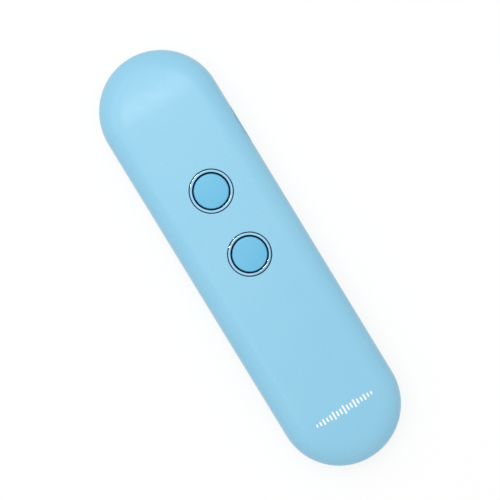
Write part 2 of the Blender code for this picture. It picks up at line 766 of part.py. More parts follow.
def button_cap(name, y, ring_bottom):
    """The cap: a hollow stud with a pusher inside and a flange that the ring holds down."""
    flange_top = ring_bottom - FIT_GAP
    flange_bottom = flange_top - CAP_FLANGE_THICKNESS
    underside = PUSHER_BOTTOM + PUSHER_LENGTH
    hollow_radius = CAP_RADIUS - CAP_WALL
    profile = [
        (0, PUSHER_BOTTOM),
        (PUSHER_RADIUS, PUSHER_BOTTOM),
        (PUSHER_RADIUS, underside),
        (hollow_radius, underside),
        (hollow_radius, flange_bottom),
        (CAP_RADIUS + CAP_FLANGE_WIDTH, flange_bottom),
        (CAP_RADIUS + CAP_FLANGE_WIDTH, flange_top),
        (CAP_RADIUS, flange_top),
        (CAP_RADIUS, CAP_TOP - CAP_PROUD / 2 - CAP_EDGE_RADIUS),
        (CAP_RADIUS - CAP_EDGE_RADIUS / 3, CAP_TOP - CAP_PROUD / 2 - CAP_EDGE_RADIUS / 3),
        (CAP_RADIUS - CAP_EDGE_RADIUS, CAP_TOP - CAP_PROUD / 2),
        (CAP_RADIUS / 2, CAP_TOP - CAP_PROUD / 8),
        (0, CAP_TOP),
    ]
    shape = bmesh.new()
    add_turned(shape, profile, turn=Matrix.Translation((0, y, 0)))
    make_object(name, shape, CAP_BLUE, (0, y, CAP_TOP))


def push_switch(side, y):
    """The switch body on the board and the plunger standing in its bore."""
    bore_radius = PLUNGER_RADIUS + FIT_GAP
    body_bottom = BOARD_TOP + FIT_GAP
    bore_bottom = body_bottom + SWITCH_FLOOR
    shape = bmesh.new()
    corner = SWITCH_WIDTH / 2
    add_block(shape, (-corner, y - corner, body_bottom), (corner, y + corner, SWITCH_TOP))
    body = make_object(side + "_switch_body", shape, BLACK_PLASTIC, (0, y, body_bottom))
    bore = bmesh.new()
    add_prism(bore, circle_at(0, y, bore_radius), bore_bottom, SWITCH_TOP + CUT_OVERRUN)
    combine(body, make_object(side + "_switch_bore", bore), "DIFFERENCE")
    plunger_bottom = bore_bottom + BUTTON_TRAVEL + FIT_GAP
    plunger = bmesh.new()
    add_prism(plunger, circle_at(0, y, PLUNGER_RADIUS), plunger_bottom, PLUNGER_TOP)
    make_object(side + "_switch_plunger", plunger, WHITE_NYLON, (0, y, PLUNGER_TOP))


# Circuit board, its screws and the parts on it

def circuit_board():
    """The board: the housing's outline drawn in, with screw holes and a notch for the slide knob."""
    shape = bmesh.new()
    outline = stadium(HALF_WIDTH - BOARD_INSET, HALF_STRAIGHT, BOARD_QUARTER_STEPS, 1)
    add_prism(shape, outline, BOARD_BOTTOM, BOARD_TOP)
    board = make_object("circuit_board", shape, BOARD_GREEN, (0, 0, BOARD_BOTTOM))
    cuts = bmesh.new()
    low = BOARD_BOTTOM - CUT_OVERRUN
    high = BOARD_TOP + CUT_OVERRUN
    for x, y in SCREW_PLACES:
        add_prism(cuts, circle_at(x, y, BOSS_BORE_RADIUS), low, high)
    half_notch = FLANGE_HALF_LENGTH + SLIDE_TRAVEL / 2 + 2 * FIT_GAP
    add_block(cuts, (NOTCH_X, SLIDE_Y - half_notch, low), (HALF_WIDTH, SLIDE_Y + half_notch, high))
    combine(board, make_object("board_cuts", cuts), "DIFFERENCE")


def board_screws():
    """A pan-head screw from the rear at each place, up into its boss."""
    head_top = BOARD_BOTTOM - FIT_GAP
    head_bottom = head_top - SCREW_HEAD_HEIGHT
    profile = [
        (0, head_bottom),
        (SCREW_HEAD_RADIUS * 2 / 3, head_bottom),
        (SCREW_HEAD_RADIUS, head_bottom + SCREW_HEAD_HEIGHT / 3),
        (SCREW_HEAD_RADIUS, head_top),
        (SCREW_SHANK_RADIUS, head_top),
        (SCREW_SHANK_RADIUS, BOSS_BOTTOM + SCREW_BITE - SCREW_SHANK_RADIUS),
        (0, BOSS_BOTTOM + SCREW_BITE),
    ]
    for number, (x, y) in enumerate(SCREW_PLACES, start=1):
        shape = bmesh.new()
        add_turned(shape, profile, SMALL_ROUND_STEPS, Matrix.Translation((x, y, 0)))
        make_object(f"board_screw_{number}", shape, STEEL, (x, y, head_top))


def board_part(name, finish, x, y, width, length, height, below=False):
    """A flat part soldered on the board's front, or on its rear where below is set."""
    if below:
        top = BOARD_BOTTOM - FIT_GAP
        bottom = top - height
    else:
        bottom = BOARD_TOP + FIT_GAP
        top = bottom + height
    shape = bmesh.new()
    low = (x - width / 2, y - length / 2, bottom)
    high = (x + width / 2, y + length / 2, top)
    add_block(shape, low, high)
    return make_object(name, shape, finish, (x, y, bottom))


def front_part(name, finish, place, width, length, height):
    """A part on the board's front, with its middle at the given x and y."""
    return board_part(name, finish, *place, width, length, height)


def board_parts():
    """The chips and other flat parts on the board's front, spaced from the lower button down."""
    processor_y = LOWER_BUTTON_Y - PROCESSOR_TO_BUTTON
    front_part(
        "main_processor", CHIP_BLACK, (0, processor_y), PROCESSOR_WIDTH, PROCESSOR_WIDTH, PROCESSOR_HEIGHT
    )
    beside_processor = (PROCESSOR_WIDTH / 2 + HALF_WIDTH - BOARD_INSET) / 2
    front_part(
        "memory_chip", CHIP_BLACK, (beside_processor, processor_y), MEMORY_WIDTH, MEMORY_LENGTH, MEMORY_HEIGHT
    )
    crystal_size = (CRYSTAL_WIDTH, CRYSTAL_LENGTH, CRYSTAL_HEIGHT)
    front_part("crystal", STEEL, (-beside_processor, processor_y), *crystal_size)
    shield_y = processor_y - PROCESSOR_WIDTH / 2 - PART_SPACING - SHIELD_LENGTH / 2
    radio_shield(shield_y)
    power_x = PROCESSOR_WIDTH / 2
    power_y = shield_y - SHIELD_LENGTH / 2 - PART_SPACING - INDUCTOR_WIDTH / 2
    inductor_size = (INDUCTOR_WIDTH, INDUCTOR_WIDTH, INDUCTOR_HEIGHT)
    front_part("power_inductor", CHIP_BLACK, (power_x, power_y), *inductor_size)
    for name, x, y in (
        ("charge_controller", -power_x, power_y),
        ("audio_amplifier", -HALF_WIDTH / 2, SPEAKER_Y),
    ):
        front_part(name, CHIP_BLACK, (x, y), SMALL_CHIP_WIDTH, SMALL_CHIP_WIDTH, SMALL_CHIP_HEIGHT)
    antenna_y = ANTENNA_END_DISTANCE - HALF_LENGTH
    front_part("chip_antenna", CERAMIC_CREAM, (0, antenna_y), ANTENNA_WIDTH, ANTENNA_LENGTH, ANTENNA_HEIGHT)


def radio_shield(y):
    """The radio's can: a folded sheet box, open towards the board."""
    can = board_part("radio_shield", STEEL, 0, y, SHIELD_WIDTH, SHIELD_LENGTH, SHIELD_HEIGHT)
    bottom = BOARD_TOP + FIT_GAP
    half_width = SHIELD_WIDTH / 2 - SHIELD_SHEET
    half_length = SHIELD_LENGTH / 2 - SHIELD_SHEET
    hollow = bmesh.new()
    add_block(
        hollow,
        (-half_width, y - half_length, bottom - CUT_OVERRUN),
        (half_width, y + half_length, bottom + SHIELD_HEIGHT - SHIELD_SHEET),
    )
    combine(can, make_object("shield_hollow", hollow), "DIFFERENCE")


# Slide power switch: outer knob, lever and body

def slide_switch():
    """The knob in the side wall, and the lever that carries its movement into the switch."""
    origin = (PAD_FACE_X, KNOB_REST_Y, SLIDE_Z)
    flange_x = PAD_FACE_X - FIT_GAP
    flange_back = flange_x - KNOB_FLANGE_THICKNESS
    face_x = HALF_WIDTH - KNOB_FACE_INSET
    shape = bmesh.new()
    add_block(
        shape,
        (flange_back, KNOB_REST_Y - FLANGE_HALF_LENGTH, SLIDE_Z - FLANGE_HALF_HEIGHT),
        (flange_x, KNOB_REST_Y + FLANGE_HALF_LENGTH, SLIDE_Z + FLANGE_HALF_HEIGHT),
    )
    knob = make_object("power_knob", shape, CAP_BLUE, origin)
    neck = bmesh.new()
    half_length = KNOB_LENGTH / 2
    half_height = KNOB_HEIGHT / 2
    add_block(
        neck,
        (flange_x - FIT_GAP, KNOB_REST_Y - half_length, SLIDE_Z - half_height),
        (face_x, KNOB_REST_Y + half_length, SLIDE_Z + half_height),
    )
    combine(knob, make_object("knob_neck", neck), "UNION")
    cuts = bmesh.new()
    for groove in (-1, 0, 1):
        middle = KNOB_REST_Y + groove * half_length / 2
        add_block(
            cuts,
            (face_x - KNOB_RIB_DEPTH, middle - KNOB_RIB_WIDTH / 2, SLIDE_Z - KNOB_HEIGHT),
            (face_x + CUT_OVERRUN, middle + KNOB_RIB_WIDTH / 2, SLIDE_Z + KNOB_HEIGHT),
        )
    lever_tip = flange_back + LEVER_REACH
    pocket_half_width = LEVER_WIDTH / 2 + FIT_GAP
    pocket_half_height = LEVER_HEIGHT / 2 + FIT_GAP
    add_block(
        cuts,
        (flange_back - CUT_OVERRUN, KNOB_REST_Y - pocket_half_width, LEVER_Z - pocket_half_height),
        (lever_tip + FIT_GAP, KNOB_REST_Y + pocket_half_width, LEVER_Z + pocket_half_height),
    )
    combine(knob, make_object("knob_cuts", cuts), "DIFFERENCE")
    slide_body(lever_tip)


def slide_body(lever_tip):
    """The switch body at the board's notch, with the channel that its lever runs in."""
    front_x = NOTCH_X - FIT_GAP
    bottom = BOARD_TOP + FIT_GAP
    shape = bmesh.new()
    half_length = SLIDE_BODY_LENGTH / 2
    add_block(
        shape,
        (front_x - SLIDE_BODY_DEPTH, SLIDE_Y - half_length, bottom),
        (front_x, SLIDE_Y + half_length, bottom + SLIDE_BODY_HEIGHT),
    )
    body = make_object("power_switch_body", shape, STEEL, (front_x, SLIDE_Y, bottom))
    channel = bmesh.new()
    channel_back = front_x - SLIDE_CHANNEL_DEPTH
    channel_half_length = (LEVER_WIDTH + SLIDE_TRAVEL) / 2 + FIT_GAP
    channel_half_height = LEVER_HEIGHT / 2 + FIT_GAP / 2
    add_block(
        channel,
        (channel_back, SLIDE_Y - channel_half_length, LEVER_Z - channel_half_height),
        (front_x + CUT_OVERRUN, SLIDE_Y + channel_half_length, LEVER_Z + channel_half_height),
    )
    combine(body, make_object("switch_channel", channel), "DIFFERENCE")
    lever = bmesh.new()
    half_width = LEVER_WIDTH / 2
    add_block(
        lever,
        (channel_back + FIT_GAP, KNOB_REST_Y - half_width, LEVER_Z - LEVER_HEIGHT / 2),
        (lever_tip, KNOB_REST_Y + half_width, LEVER_Z + LEVER_HEIGHT / 2),
    )
    make_object("power_switch_lever", lever, WHITE_NYLON, (channel_back, KNOB_REST_Y, LEVER_Z))


# Charging socket, with its mouth just inside the lower end

def charge_socket():
    """The socket's drawn steel tube, and the contact tongue standing inside it."""
    mouth_y = SOCKET_RECESS - HALF_LENGTH
    back_y = mouth_y + SOCKET_DEPTH
    turn = along_y(0, SOCKET_HEIGHT_CENTRE)
    outer = rounded_rectangle(SOCKET_WIDTH, SOCKET_HEIGHT, SOCKET_CORNER_RADIUS)
    shape = bmesh.new()
    add_prism(shape, outer, mouth_y, back_y, turn)
    socket = make_object("charge_socket", shape, STEEL, (0, mouth_y, SOCKET_HEIGHT_CENTRE))
    bore_width = SOCKET_WIDTH - 2 * SOCKET_WALL
    bore_height = SOCKET_HEIGHT - 2 * SOCKET_WALL
    bore = rounded_rectangle(bore_width, bore_height, SOCKET_CORNER_RADIUS - SOCKET_WALL)
    hollow = bmesh.new()
    add_prism(hollow, bore, mouth_y - CUT_OVERRUN, back_y - SOCKET_WALL, turn)
    combine(socket, make_object("socket_hollow", hollow), "DIFFERENCE")
    block_back = back_y - SOCKET_WALL - FIT_GAP
    block_front = block_back - SOCKET_BLOCK_DEPTH
    tongue = bmesh.new()
    add_block(
        tongue,
        (
            -SOCKET_TONGUE_WIDTH / 2,
            mouth_y + SOCKET_TONGUE_SETBACK,
            SOCKET_HEIGHT_CENTRE - SOCKET_TONGUE_HEIGHT / 2,
        ),
        (SOCKET_TONGUE_WIDTH / 2, block_back - FIT_GAP, SOCKET_HEIGHT_CENTRE + SOCKET_TONGUE_HEIGHT / 2),
    )
    plate = make_object("charge_socket_tongue", tongue, BLACK_PLASTIC, (0, mouth_y, SOCKET_HEIGHT_CENTRE))
    block = bmesh.new()
    block_width = bore_width - 2 * FIT_GAP
    block_height = bore_height - 2 * FIT_GAP
    outline = rounded_rectangle(block_width, block_height, SOCKET_CORNER_RADIUS - SOCKET_WALL - FIT_GAP)
    add_prism(block, outline, block_front, block_back, turn)
    combine(plate, make_object("tongue_block", block), "UNION")


# Microphones under the board's ends, each over a rubber boot that leads to its hole

def microphone(side, x, y, way):
    """A microphone and its boot, with the boot's neck pointing along Y in the given way."""
    mic_bottom = BOARD_BOTTOM - FIT_GAP - MIC_HEIGHT
    board_part(side + "_microphone", STEEL, x, y, MIC_WIDTH, MIC_LENGTH, MIC_HEIGHT, below=True)
    boot_top = mic_bottom - FIT_GAP
    boot_bottom = WALL + FIT_GAP
    neck_end = way * (end_y(abs(x), WALL) - BOOT_TO_WALL)
    shape = bmesh.new()
    add_block(
        shape,
        (x - BOOT_WIDTH / 2, y - BOOT_LENGTH / 2, boot_bottom),
        (x + BOOT_WIDTH / 2, y + BOOT_LENGTH / 2, boot_top),
    )
    boot = make_object(side + "_mic_boot", shape, RUBBER_BLACK, (x, y, boot_bottom))
    turn = along_y(x, END_HOLE_HEIGHT)
    neck = bmesh.new()
    add_prism(neck, circle(BOOT_NECK_RADIUS, SMALL_ROUND_STEPS), *sorted((y, neck_end)), turn)
    combine(boot, make_object(side + "_boot_neck", neck), "UNION")
    sound_way = bmesh.new()
    bore = circle(BOOT_BORE_RADIUS, SMALL_ROUND_STEPS // 2)
    add_prism(sound_way, bore, *sorted((y, neck_end + way * CUT_OVERRUN)), turn)
    combine(boot, make_object(side + "_boot_bore", sound_way), "DIFFERENCE")
    sound_port = bmesh.new()
    port = circle_at(x, y, BOOT_BORE_RADIUS, SMALL_ROUND_STEPS // 2)
    add_prism(sound_port, port, END_HOLE_HEIGHT, boot_top + CUT_OVERRUN)
    combine(boot, make_object(side + "_boot_port", sound_port), "DIFFERENCE")


# Status light: a lamp under the board and the clear pipe that shows it beside the socket

def status_light():
    """The lamp, and an elbow of clear plastic from under it to the lower end."""
    x = -SIDE_HOLE_OFFSET
    y = LIGHT_END_DISTANCE - HALF_LENGTH
    board_part("status_light", WHITE_NYLON, x, y, LED_LENGTH, LED_WIDTH, LED_HEIGHT, below=True)
    column_top = BOARD_BOTTOM - FIT_GAP - LED_HEIGHT - FIT_GAP
    column_bottom = END_HOLE_HEIGHT - LIGHT_PIPE_RADIUS / 2
    shape = bmesh.new()
    half = LIGHT_PIPE_RADIUS
    add_block(shape, (x - half, y - half, column_bottom), (x + half, y + half, column_top))
    pipe = make_object("status_light_pipe", shape, CLEAR_PLASTIC, (x, y, column_top))
    rod = bmesh.new()
    outer_end = LIGHT_PIPE_RECESS - end_y(SIDE_HOLE_OFFSET + LIGHT_PIPE_RADIUS, 0)
    turn = along_y(x, END_HOLE_HEIGHT)
    add_prism(rod, circle(LIGHT_PIPE_RADIUS, SMALL_ROUND_STEPS), outer_end, y, turn)
    combine(pipe, make_object("pipe_rod", rod), "UNION")


# Battery on its foam, with its plug and leads

def battery():
    """The pouch cell between its ribs, and the foam that it lies on."""
    outline = [
        (x, BATTERY_Y + y)
        for x, y in rounded_rectangle(2 * BATTERY_HALF_WIDTH, BATTERY_LENGTH, BATTERY_CORNER_RADIUS)
    ]
    cell = bmesh.new()
    add_prism(cell, outline, BATTERY_BOTTOM, BATTERY_BOTTOM + BATTERY_THICKNESS)
    make_object("battery_cell", cell, FOIL_SILVER, (0, BATTERY_Y, BATTERY_BOTTOM))
    foam = bmesh.new()
    foam_bottom = WALL + FIT_GAP
    add_prism(foam, outline, foam_bottom, foam_bottom + FOAM_THICKNESS)
    make_object("battery_foam", foam, FOAM_GREY, (0, BATTERY_Y, foam_bottom))


def battery_connector():
    """The header under the board, the plug in line with it and two leads from the cell."""
    plug_end = BATTERY_START_Y - PLUG_TO_BATTERY
    plug_y = plug_end - PLUG_LENGTH / 2
    board_part("battery_plug", WHITE_NYLON, 0, plug_y, PLUG_WIDTH, PLUG_LENGTH, PLUG_HEIGHT, below=True)
    header_y = plug_end - PLUG_LENGTH - HEADER_TO_PLUG - HEADER_LENGTH / 2
    header_size = (HEADER_WIDTH, HEADER_LENGTH, HEADER_HEIGHT)
    board_part("battery_header", WHITE_NYLON, 0, header_y, *header_size, below=True)
    height = BOARD_BOTTOM - FIT_GAP - PLUG_HEIGHT / 2
    sag = LEAD_RADIUS / 2
    start = BATTERY_START_Y - FIT_GAP
    end = plug_end + FIT_GAP
    for side, colour, finish in ((-1, "black", LEAD_BLACK), (1, "red", LEAD_RED)):
        near = side * LEAD_SPACING / 4
        far = side * LEAD_SPACING
        route = [
            (far, start, height),
            (far, start - PLUG_TO_BATTERY / 4, height + sag),
            ((near + far) / 2, (start + end) / 2, height),
            (near, end + PLUG_TO_BATTERY / 4, height),
            (near, end, height),
        ]
        lead("battery_lead_" + colour, finish, route)


# Speaker over the grille, in the rear shell's round seat

def speaker():
    """From the grille inwards: dust mesh, gasket, diaphragm, frame and magnet, then the leads."""
    at_speaker = Matrix.Translation((0, SPEAKER_Y, 0))

    def turned(name, finish, profile):
        shape = bmesh.new()
        add_turned(shape, profile, turn=at_speaker)
        make_object(name, shape, finish, (0, SPEAKER_Y, profile[0][1]))

    mesh_low = WALL + FIT_GAP
    mesh_high = mesh_low + DUST_MESH_THICKNESS
    turned("speaker_mesh", BLACK_PLASTIC, [
        (0, mesh_low),
        (SPEAKER_RADIUS, mesh_low),
        (SPEAKER_RADIUS, mesh_high),
        (0, mesh_high),
    ])
    gasket_low = mesh_high + FIT_GAP
    gasket_high = gasket_low + GASKET_THICKNESS
    gasket_bore = SPEAKER_RADIUS - GASKET_WIDTH
    turned("speaker_gasket", FOAM_GREY, [
        (gasket_bore, gasket_low),
        (SPEAKER_RADIUS, gasket_low),
        (SPEAKER_RADIUS, gasket_high),
        (gasket_bore, gasket_high),
    ])
    frame_low = gasket_high + FIT_GAP
    frame_high = frame_low + SPEAKER_HEIGHT
    rim_bore = SPEAKER_RADIUS - SPEAKER_RIM_WIDTH
    rim_high = frame_low + SPEAKER_RIM_HEIGHT
    magnet_bore = MAGNET_RADIUS + FIT_GAP
    turned("speaker_frame", BLACK_PLASTIC, [
        (rim_bore, frame_low),
        (SPEAKER_RADIUS, frame_low),
        (SPEAKER_RADIUS, rim_high),
        (rim_bore + SPEAKER_RIM_HEIGHT, rim_high),
        (SPEAKER_BACK_RADIUS, frame_high),
        (magnet_bore, frame_high),
        (magnet_bore, frame_high - SPEAKER_RIM_HEIGHT),
        (rim_bore, rim_high),
    ])
    magnet_low = frame_high - MAGNET_HEIGHT
    turned("speaker_magnet", STEEL, [
        (0, magnet_low),
        (MAGNET_RADIUS, magnet_low),
        (MAGNET_RADIUS, frame_high),
        (0, frame_high),
    ])
    edge = rim_bore - FIT_GAP
    cone_high = frame_low + DIAPHRAGM_THICKNESS
    turned("speaker_diaphragm", CHIP_BLACK, [
        (0, frame_low - DIAPHRAGM_THICKNESS),
        (DOME_RADIUS, frame_low),
        (edge, frame_low),
        (edge, cone_high),
        (DOME_RADIUS, cone_high),
        (0, cone_high - DIAPHRAGM_THICKNESS),
    ])
    speaker_leads(frame_high)


def speaker_leads(frame_high):
    """Two leads from the back of the frame to the board's rear, level with it."""
    height = (frame_high + FIT_GAP + BOARD_BOTTOM - FIT_GAP) / 2
    start = SPEAKER_Y - SPEAKER_BACK_RADIUS
    end = MIDDLE_SCREW_Y
    for side, colour, finish in ((-1, "black", LEAD_BLACK), (1, "red", LEAD_RED)):
        x = side * LEAD_SPACING / 2
        route = [
            (x, start, height),
            (x, start - LEAD_SPACING, height),
            (x + side * LEAD_RADIUS, (start + end) / 2, height),
            (x, end + LEAD_SPACING, height),
            (x, end, height),
        ]
        lead("speaker_lead_" + colour, finish, route)


clear_scene()
front_shell()
rear_shell()
for button_side, button_y in BUTTONS:
    ring_bottom = button_ring(button_side + "_button_ring", button_y)
    button_cap(button_side + "_button_cap", button_y, ring_bottom)
    push_switch(button_side, button_y)
circuit_board()
board_screws()
board_parts()
slide_switch()
charge_socket()
microphone("top", 0, HALF_LENGTH - MIC_END_DISTANCE, 1)
microphone("bottom", SIDE_HOLE_OFFSET, SIDE_MIC_END_DISTANCE - HALF_LENGTH, -1)
status_light()
battery()
battery_connector()
speaker()
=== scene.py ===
"""Looks of a handheld voice translator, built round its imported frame.

Lengths are in metres and in the frame's own axes: X across the width towards the slide switch,
Y along the length towards the speaker end, Z up out of the front face. Sections follow the
device as it is put together, from the rear shell up to the front shell, its rings and its caps.
"""

import math

import bmesh
import bpy
from mathutils import Matrix, Vector


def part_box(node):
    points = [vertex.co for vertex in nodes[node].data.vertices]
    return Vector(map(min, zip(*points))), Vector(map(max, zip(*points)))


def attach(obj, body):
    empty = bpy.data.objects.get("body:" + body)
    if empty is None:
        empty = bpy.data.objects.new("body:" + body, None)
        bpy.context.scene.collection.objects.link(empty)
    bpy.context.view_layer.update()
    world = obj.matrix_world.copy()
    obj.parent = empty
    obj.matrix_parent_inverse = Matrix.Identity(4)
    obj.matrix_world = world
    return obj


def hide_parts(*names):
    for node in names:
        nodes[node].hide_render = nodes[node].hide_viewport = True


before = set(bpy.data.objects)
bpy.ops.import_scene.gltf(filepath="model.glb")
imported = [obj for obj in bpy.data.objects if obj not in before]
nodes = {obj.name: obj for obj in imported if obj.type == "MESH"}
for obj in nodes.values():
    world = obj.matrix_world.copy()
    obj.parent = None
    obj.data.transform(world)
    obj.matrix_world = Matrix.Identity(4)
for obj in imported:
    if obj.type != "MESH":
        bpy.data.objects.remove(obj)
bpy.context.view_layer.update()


# Rear shell
# The rear half of the housing, satin light blue outside, dark navy painted shade inside and in cuts.
# Ribs hold the battery, a round seat holds the speaker over the grille's holes, and a groove in
# the rim takes the front shell's glued tongue.

WALL = 0.0014
FIT_GAP = 0.0003
PARTING_HEIGHT = 0.0050
TONGUE_DEPTH = 0.0010
TONGUE_THICKNESS = 0.00055
SEAM_CHAMFER = 0.0002
REAR_EDGE_RUN = 0.0040
REAR_EDGE_RISE = 0.0035
EDGE_POWER = 2.3
OVERRUN = 0.0010
RIB_THICKNESS = 0.0009
RIB_HEIGHT = 0.0026
END_RIB_LENGTH = 0.0180
SIDE_RIB_LENGTH = 0.0090
SIDE_RIB_SPACING_SHARE = 0.6
SPEAKER_SEAT_WALL = 0.0008
SPEAKER_SEAT_HEIGHT = 0.0028
GRILLE_HOLE_RADIUS = 0.0006
GRILLE_RING_PITCH = 0.0021
GRILLE_RINGS = 3
GRILLE_FIRST_RING_HOLES = 6
GRILLE_LIP = 0.00012
END_HOLE_HEIGHT = 0.0033
SIDE_HOLE_OFFSET = 0.0080
SOUND_HOLE_RADIUS = 0.0005
LIGHT_HOLE_RADIUS = 0.0011
SOCKET_CORNER_RADIUS = 0.0012
SATIN_BLUE = (141, 199, 225), (139, 198, 225)
# Dark navy for inner faces, cut walls and the sides of rings and caps: painted shade in the gaps.
SHADE_NAVY = (10, 72, 126), (8, 65, 117)
SPRAYED, PAINTED_SHADE = 0, 1
SHARP_ANGLE = math.radians(38)
NOISE_LOW, NOISE_HIGH = 0.3, 0.7
END_STEPS = 40
SIDE_STEPS = 56
SOUND_HOLE_STEPS = 30
LIGHT_HOLE_STEPS = 46
GRILLE_HOLE_STEPS = 24
SHADE_RIM_BANDS = 3


def centre(name):
    """The middle of a node's box."""
    low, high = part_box(name)
    return [(near + far) / 2 for near, far in zip(low, high)]


rear_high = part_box("rear_shell")[1]
HALF_WIDTH = rear_high.x
HALF_LENGTH = rear_high.y
HALF_STRAIGHT = HALF_LENGTH - HALF_WIDTH
SPEAKER_Y = centre("speaker_frame")[1]
SPEAKER_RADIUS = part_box("speaker_frame")[1].x
socket_low, socket_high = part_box("charge_socket")
SOCKET_WIDTH = socket_high.x - socket_low.x
SOCKET_HEIGHT = socket_high.z - socket_low.z
SOCKET_Z = centre("charge_socket")[2]
cell_low, cell_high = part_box("battery_cell")


def quarter(steps):
    """Angles from nothing to a quarter turn."""
    return [math.pi / 2 * step / steps for step in range(steps + 1)]


def arc(x, y, across, up, steps, turns=0):
    """A quarter of an ellipse about (x, y), that starts some quarter turns from its right."""
    angles = [angle + turns * math.pi / 2 for angle in quarter(steps)]
    return [(x + across * math.cos(angle), y + up * math.sin(angle)) for angle in angles]


def circle(radius, steps):
    """A circle's points, counter-clockwise."""
    turns = [math.tau * step / steps for step in range(steps)]
    return [(radius * math.cos(turn), radius * math.sin(turn)) for turn in turns]


def rounded_rectangle(width, height, radius, steps):
    """A rectangle with round corners, counter-clockwise."""
    points = []
    for corner in range(4):
        across = width / 2 - radius if corner in (0, 3) else radius - width / 2
        up = height / 2 - radius if corner in (0, 1) else radius - height / 2
        points += arc(across, up, radius, radius, steps, turns=corner)
    return points


def stadium(half_width):
    """The housing's plan at a half width, from its lower tip counter-clockwise."""
    right = arc(0, -HALF_STRAIGHT, half_width, half_width, END_STEPS, turns=-1)
    right += [(half_width, HALF_STRAIGHT * (2 * step / SIDE_STEPS - 1)) for step in range(1, SIDE_STEPS)]
    right += arc(0, HALF_STRAIGHT, half_width, half_width, END_STEPS)
    return right + [(-x, y) for x, y in reversed(right[1:-1])]


def moved(outline, x, y):
    """An outline moved by x and y."""
    return [(across + x, up + y) for across, up in outline]


def level(outline, height):
    """An outline's points at one height."""
    return [(x, y, height) for x, y in outline]


def loft(shape, rings, closed=False, capped=False, shade_bands=0):
    """Skin a series of rings with as many points each; the first bands may take the dark navy painted
    shade.
    """
    made = [[shape.verts.new(point) for point in ring] for ring in rings]
    pairs = list(zip(made, made[1:]))
    if closed:
        pairs.append((made[-1], made[0]))
    for band, (lower, upper) in enumerate(pairs):
        for index in range(len(lower)):
            after = (index + 1) % len(lower)
            face = shape.faces.new((lower[index], lower[after], upper[after], upper[index]))
            face.material_index = PAINTED_SHADE if band < shade_bands else SPRAYED
    if capped:
        shape.faces.new(made[0])
        shape.faces.new(made[-1])
    return made


def close_with_strips(shape, ring, finish):
    """Close a ring that is alike on both sides with strips from side to side."""
    count = len(ring)
    half = count // 2
    strips = [(ring[0], ring[1], ring[count - 1]), (ring[half - 1], ring[half], ring[half + 1])]
    for index in range(1, half - 1):
        strips.append((ring[index], ring[index + 1], ring[count - index - 1], ring[count - index]))
    for strip in strips:
        shape.faces.new(strip).material_index = finish


def prism(shape, outline, low, high, turn=None):
    """A straight prism on an outline, from low to high along Z, then turned."""
    made = loft(shape, [level(outline, low), level(outline, high)], capped=True)
    if turn is not None:
        bmesh.ops.transform(shape, matrix=turn, verts=made[0] + made[1])


def block(shape, low, high):
    """A box between two corners."""
    outline = [(low[0], low[1]), (high[0], low[1]), (high[0], high[1]), (low[0], high[1])]
    prism(shape, outline, low[2], high[2])


def lathe(shape, profile, turn=None, steps=96, shade_bands=0):
    """A body turned about Z from (radius, height) points; it is solid where the profile starts on
    the axis, and closes on itself round a bore where it does not."""
    bored = profile[0][0] > 0
    rings = [level(circle(radius, steps), height) for radius, height in profile if radius > 0]
    made = loft(shape, rings, closed=bored, shade_bands=shade_bands)
    vertices = [vertex for ring in made for vertex in ring]
    if not bored:
        for ring, height in ((made[0], profile[0][1]), (made[-1], profile[-1][1])):
            pole = shape.verts.new((0, 0, height))
            vertices.append(pole)
            for index in range(steps):
                shape.faces.new((ring[index], ring[(index + 1) % steps], pole))
    if turn is not None:
        bmesh.ops.transform(shape, matrix=turn, verts=vertices)


def along_y(x, z):
    """A turn that lays a solid made along Z down along Y, at the given x and height."""
    return Matrix.Translation((x, 0, z)) @ Matrix.Rotation(-math.pi / 2, 4, "X")


def cast(name, shape, *finishes):
    """Turn a drawn shape into an object with its faces turned outwards."""
    bmesh.ops.recalc_face_normals(shape, faces=shape.faces)
    mesh = bpy.data.meshes.new(name)
    shape.to_mesh(mesh)
    shape.free()
    made = bpy.data.objects.new(name, mesh)
    bpy.context.scene.collection.objects.link(made)
    for finish in finishes:
        mesh.materials.append(finish)
    return made


def shade_lined_tool(name, shape):
    """A tool whose own faces leave dark navy painted shade behind."""
    for face in shape.faces:
        face.material_index = PAINTED_SHADE
    return cast(name, shape, satin_plastic, shade_navy_plastic)


def machine(piece, operation, *tools):
    """Fuse the tools to the piece or cut them out of it, one after the other."""
    for tool in tools:
        boolean = piece.modifiers.new(tool.name, "BOOLEAN")
        boolean.operation = operation
        boolean.object = tool
    depsgraph = bpy.context.evaluated_depsgraph_get()
    finished = bpy.data.meshes.new_from_object(piece.evaluated_get(depsgraph))
    piece.modifiers.clear()
    piece.data = finished
    for tool in tools:
        bpy.data.objects.remove(tool)


def shade_evenly(piece):
    """Shade the piece smooth, led by its larger faces."""
    piece.data.shade_smooth()
    even = piece.modifiers.new("even_shading", "WEIGHTED_NORMAL")
    even.keep_sharp = True


def seat(piece, body, slot_name, *stood_for):
    """Shade the piece and fix it to its body, in the place of the nodes that it stands for."""
    shade_evenly(piece)
    piece.data.set_sharp_from_angle(angle=SHARP_ANGLE)
    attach(piece, body)
    if stood_for:
        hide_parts(*stood_for)


def linear(tone):
    """A colour for a shader from its red, green and blue as a screen shows them, out of 255."""
    low_end, slope, offset, power = 0.04045, 12.92, 0.055, 2.4
    shares = [value / 255 for value in tone]
    return (*[s / slope if s <= low_end else ((s + offset) / (1 + offset)) ** power for s in shares], 1)


def connect(tree, node, *values, **sockets):
    """Feed a node's sockets, in their order or by name, with other outputs or plain values."""
    named = [(node.inputs[name.replace("_", " ")], value) for name, value in sockets.items()]
    for socket, value in [*zip(node.inputs, values), *named]:
        if isinstance(value, bpy.types.NodeSocket):
            tree.links.new(value, socket)
        else:
            socket.default_value = value
    return node


def add_node(tree, kind, *values, **sockets):
    """A new shader node with its sockets fed."""
    return connect(tree, tree.nodes.new("ShaderNode" + kind), *values, **sockets)


def grain(tree, place, size, detail=3.0):
    """A noise whose features have about the given size."""
    return add_node(tree, "TexNoise", Scale=1 / size, Detail=detail, Vector=place).outputs["Fac"]


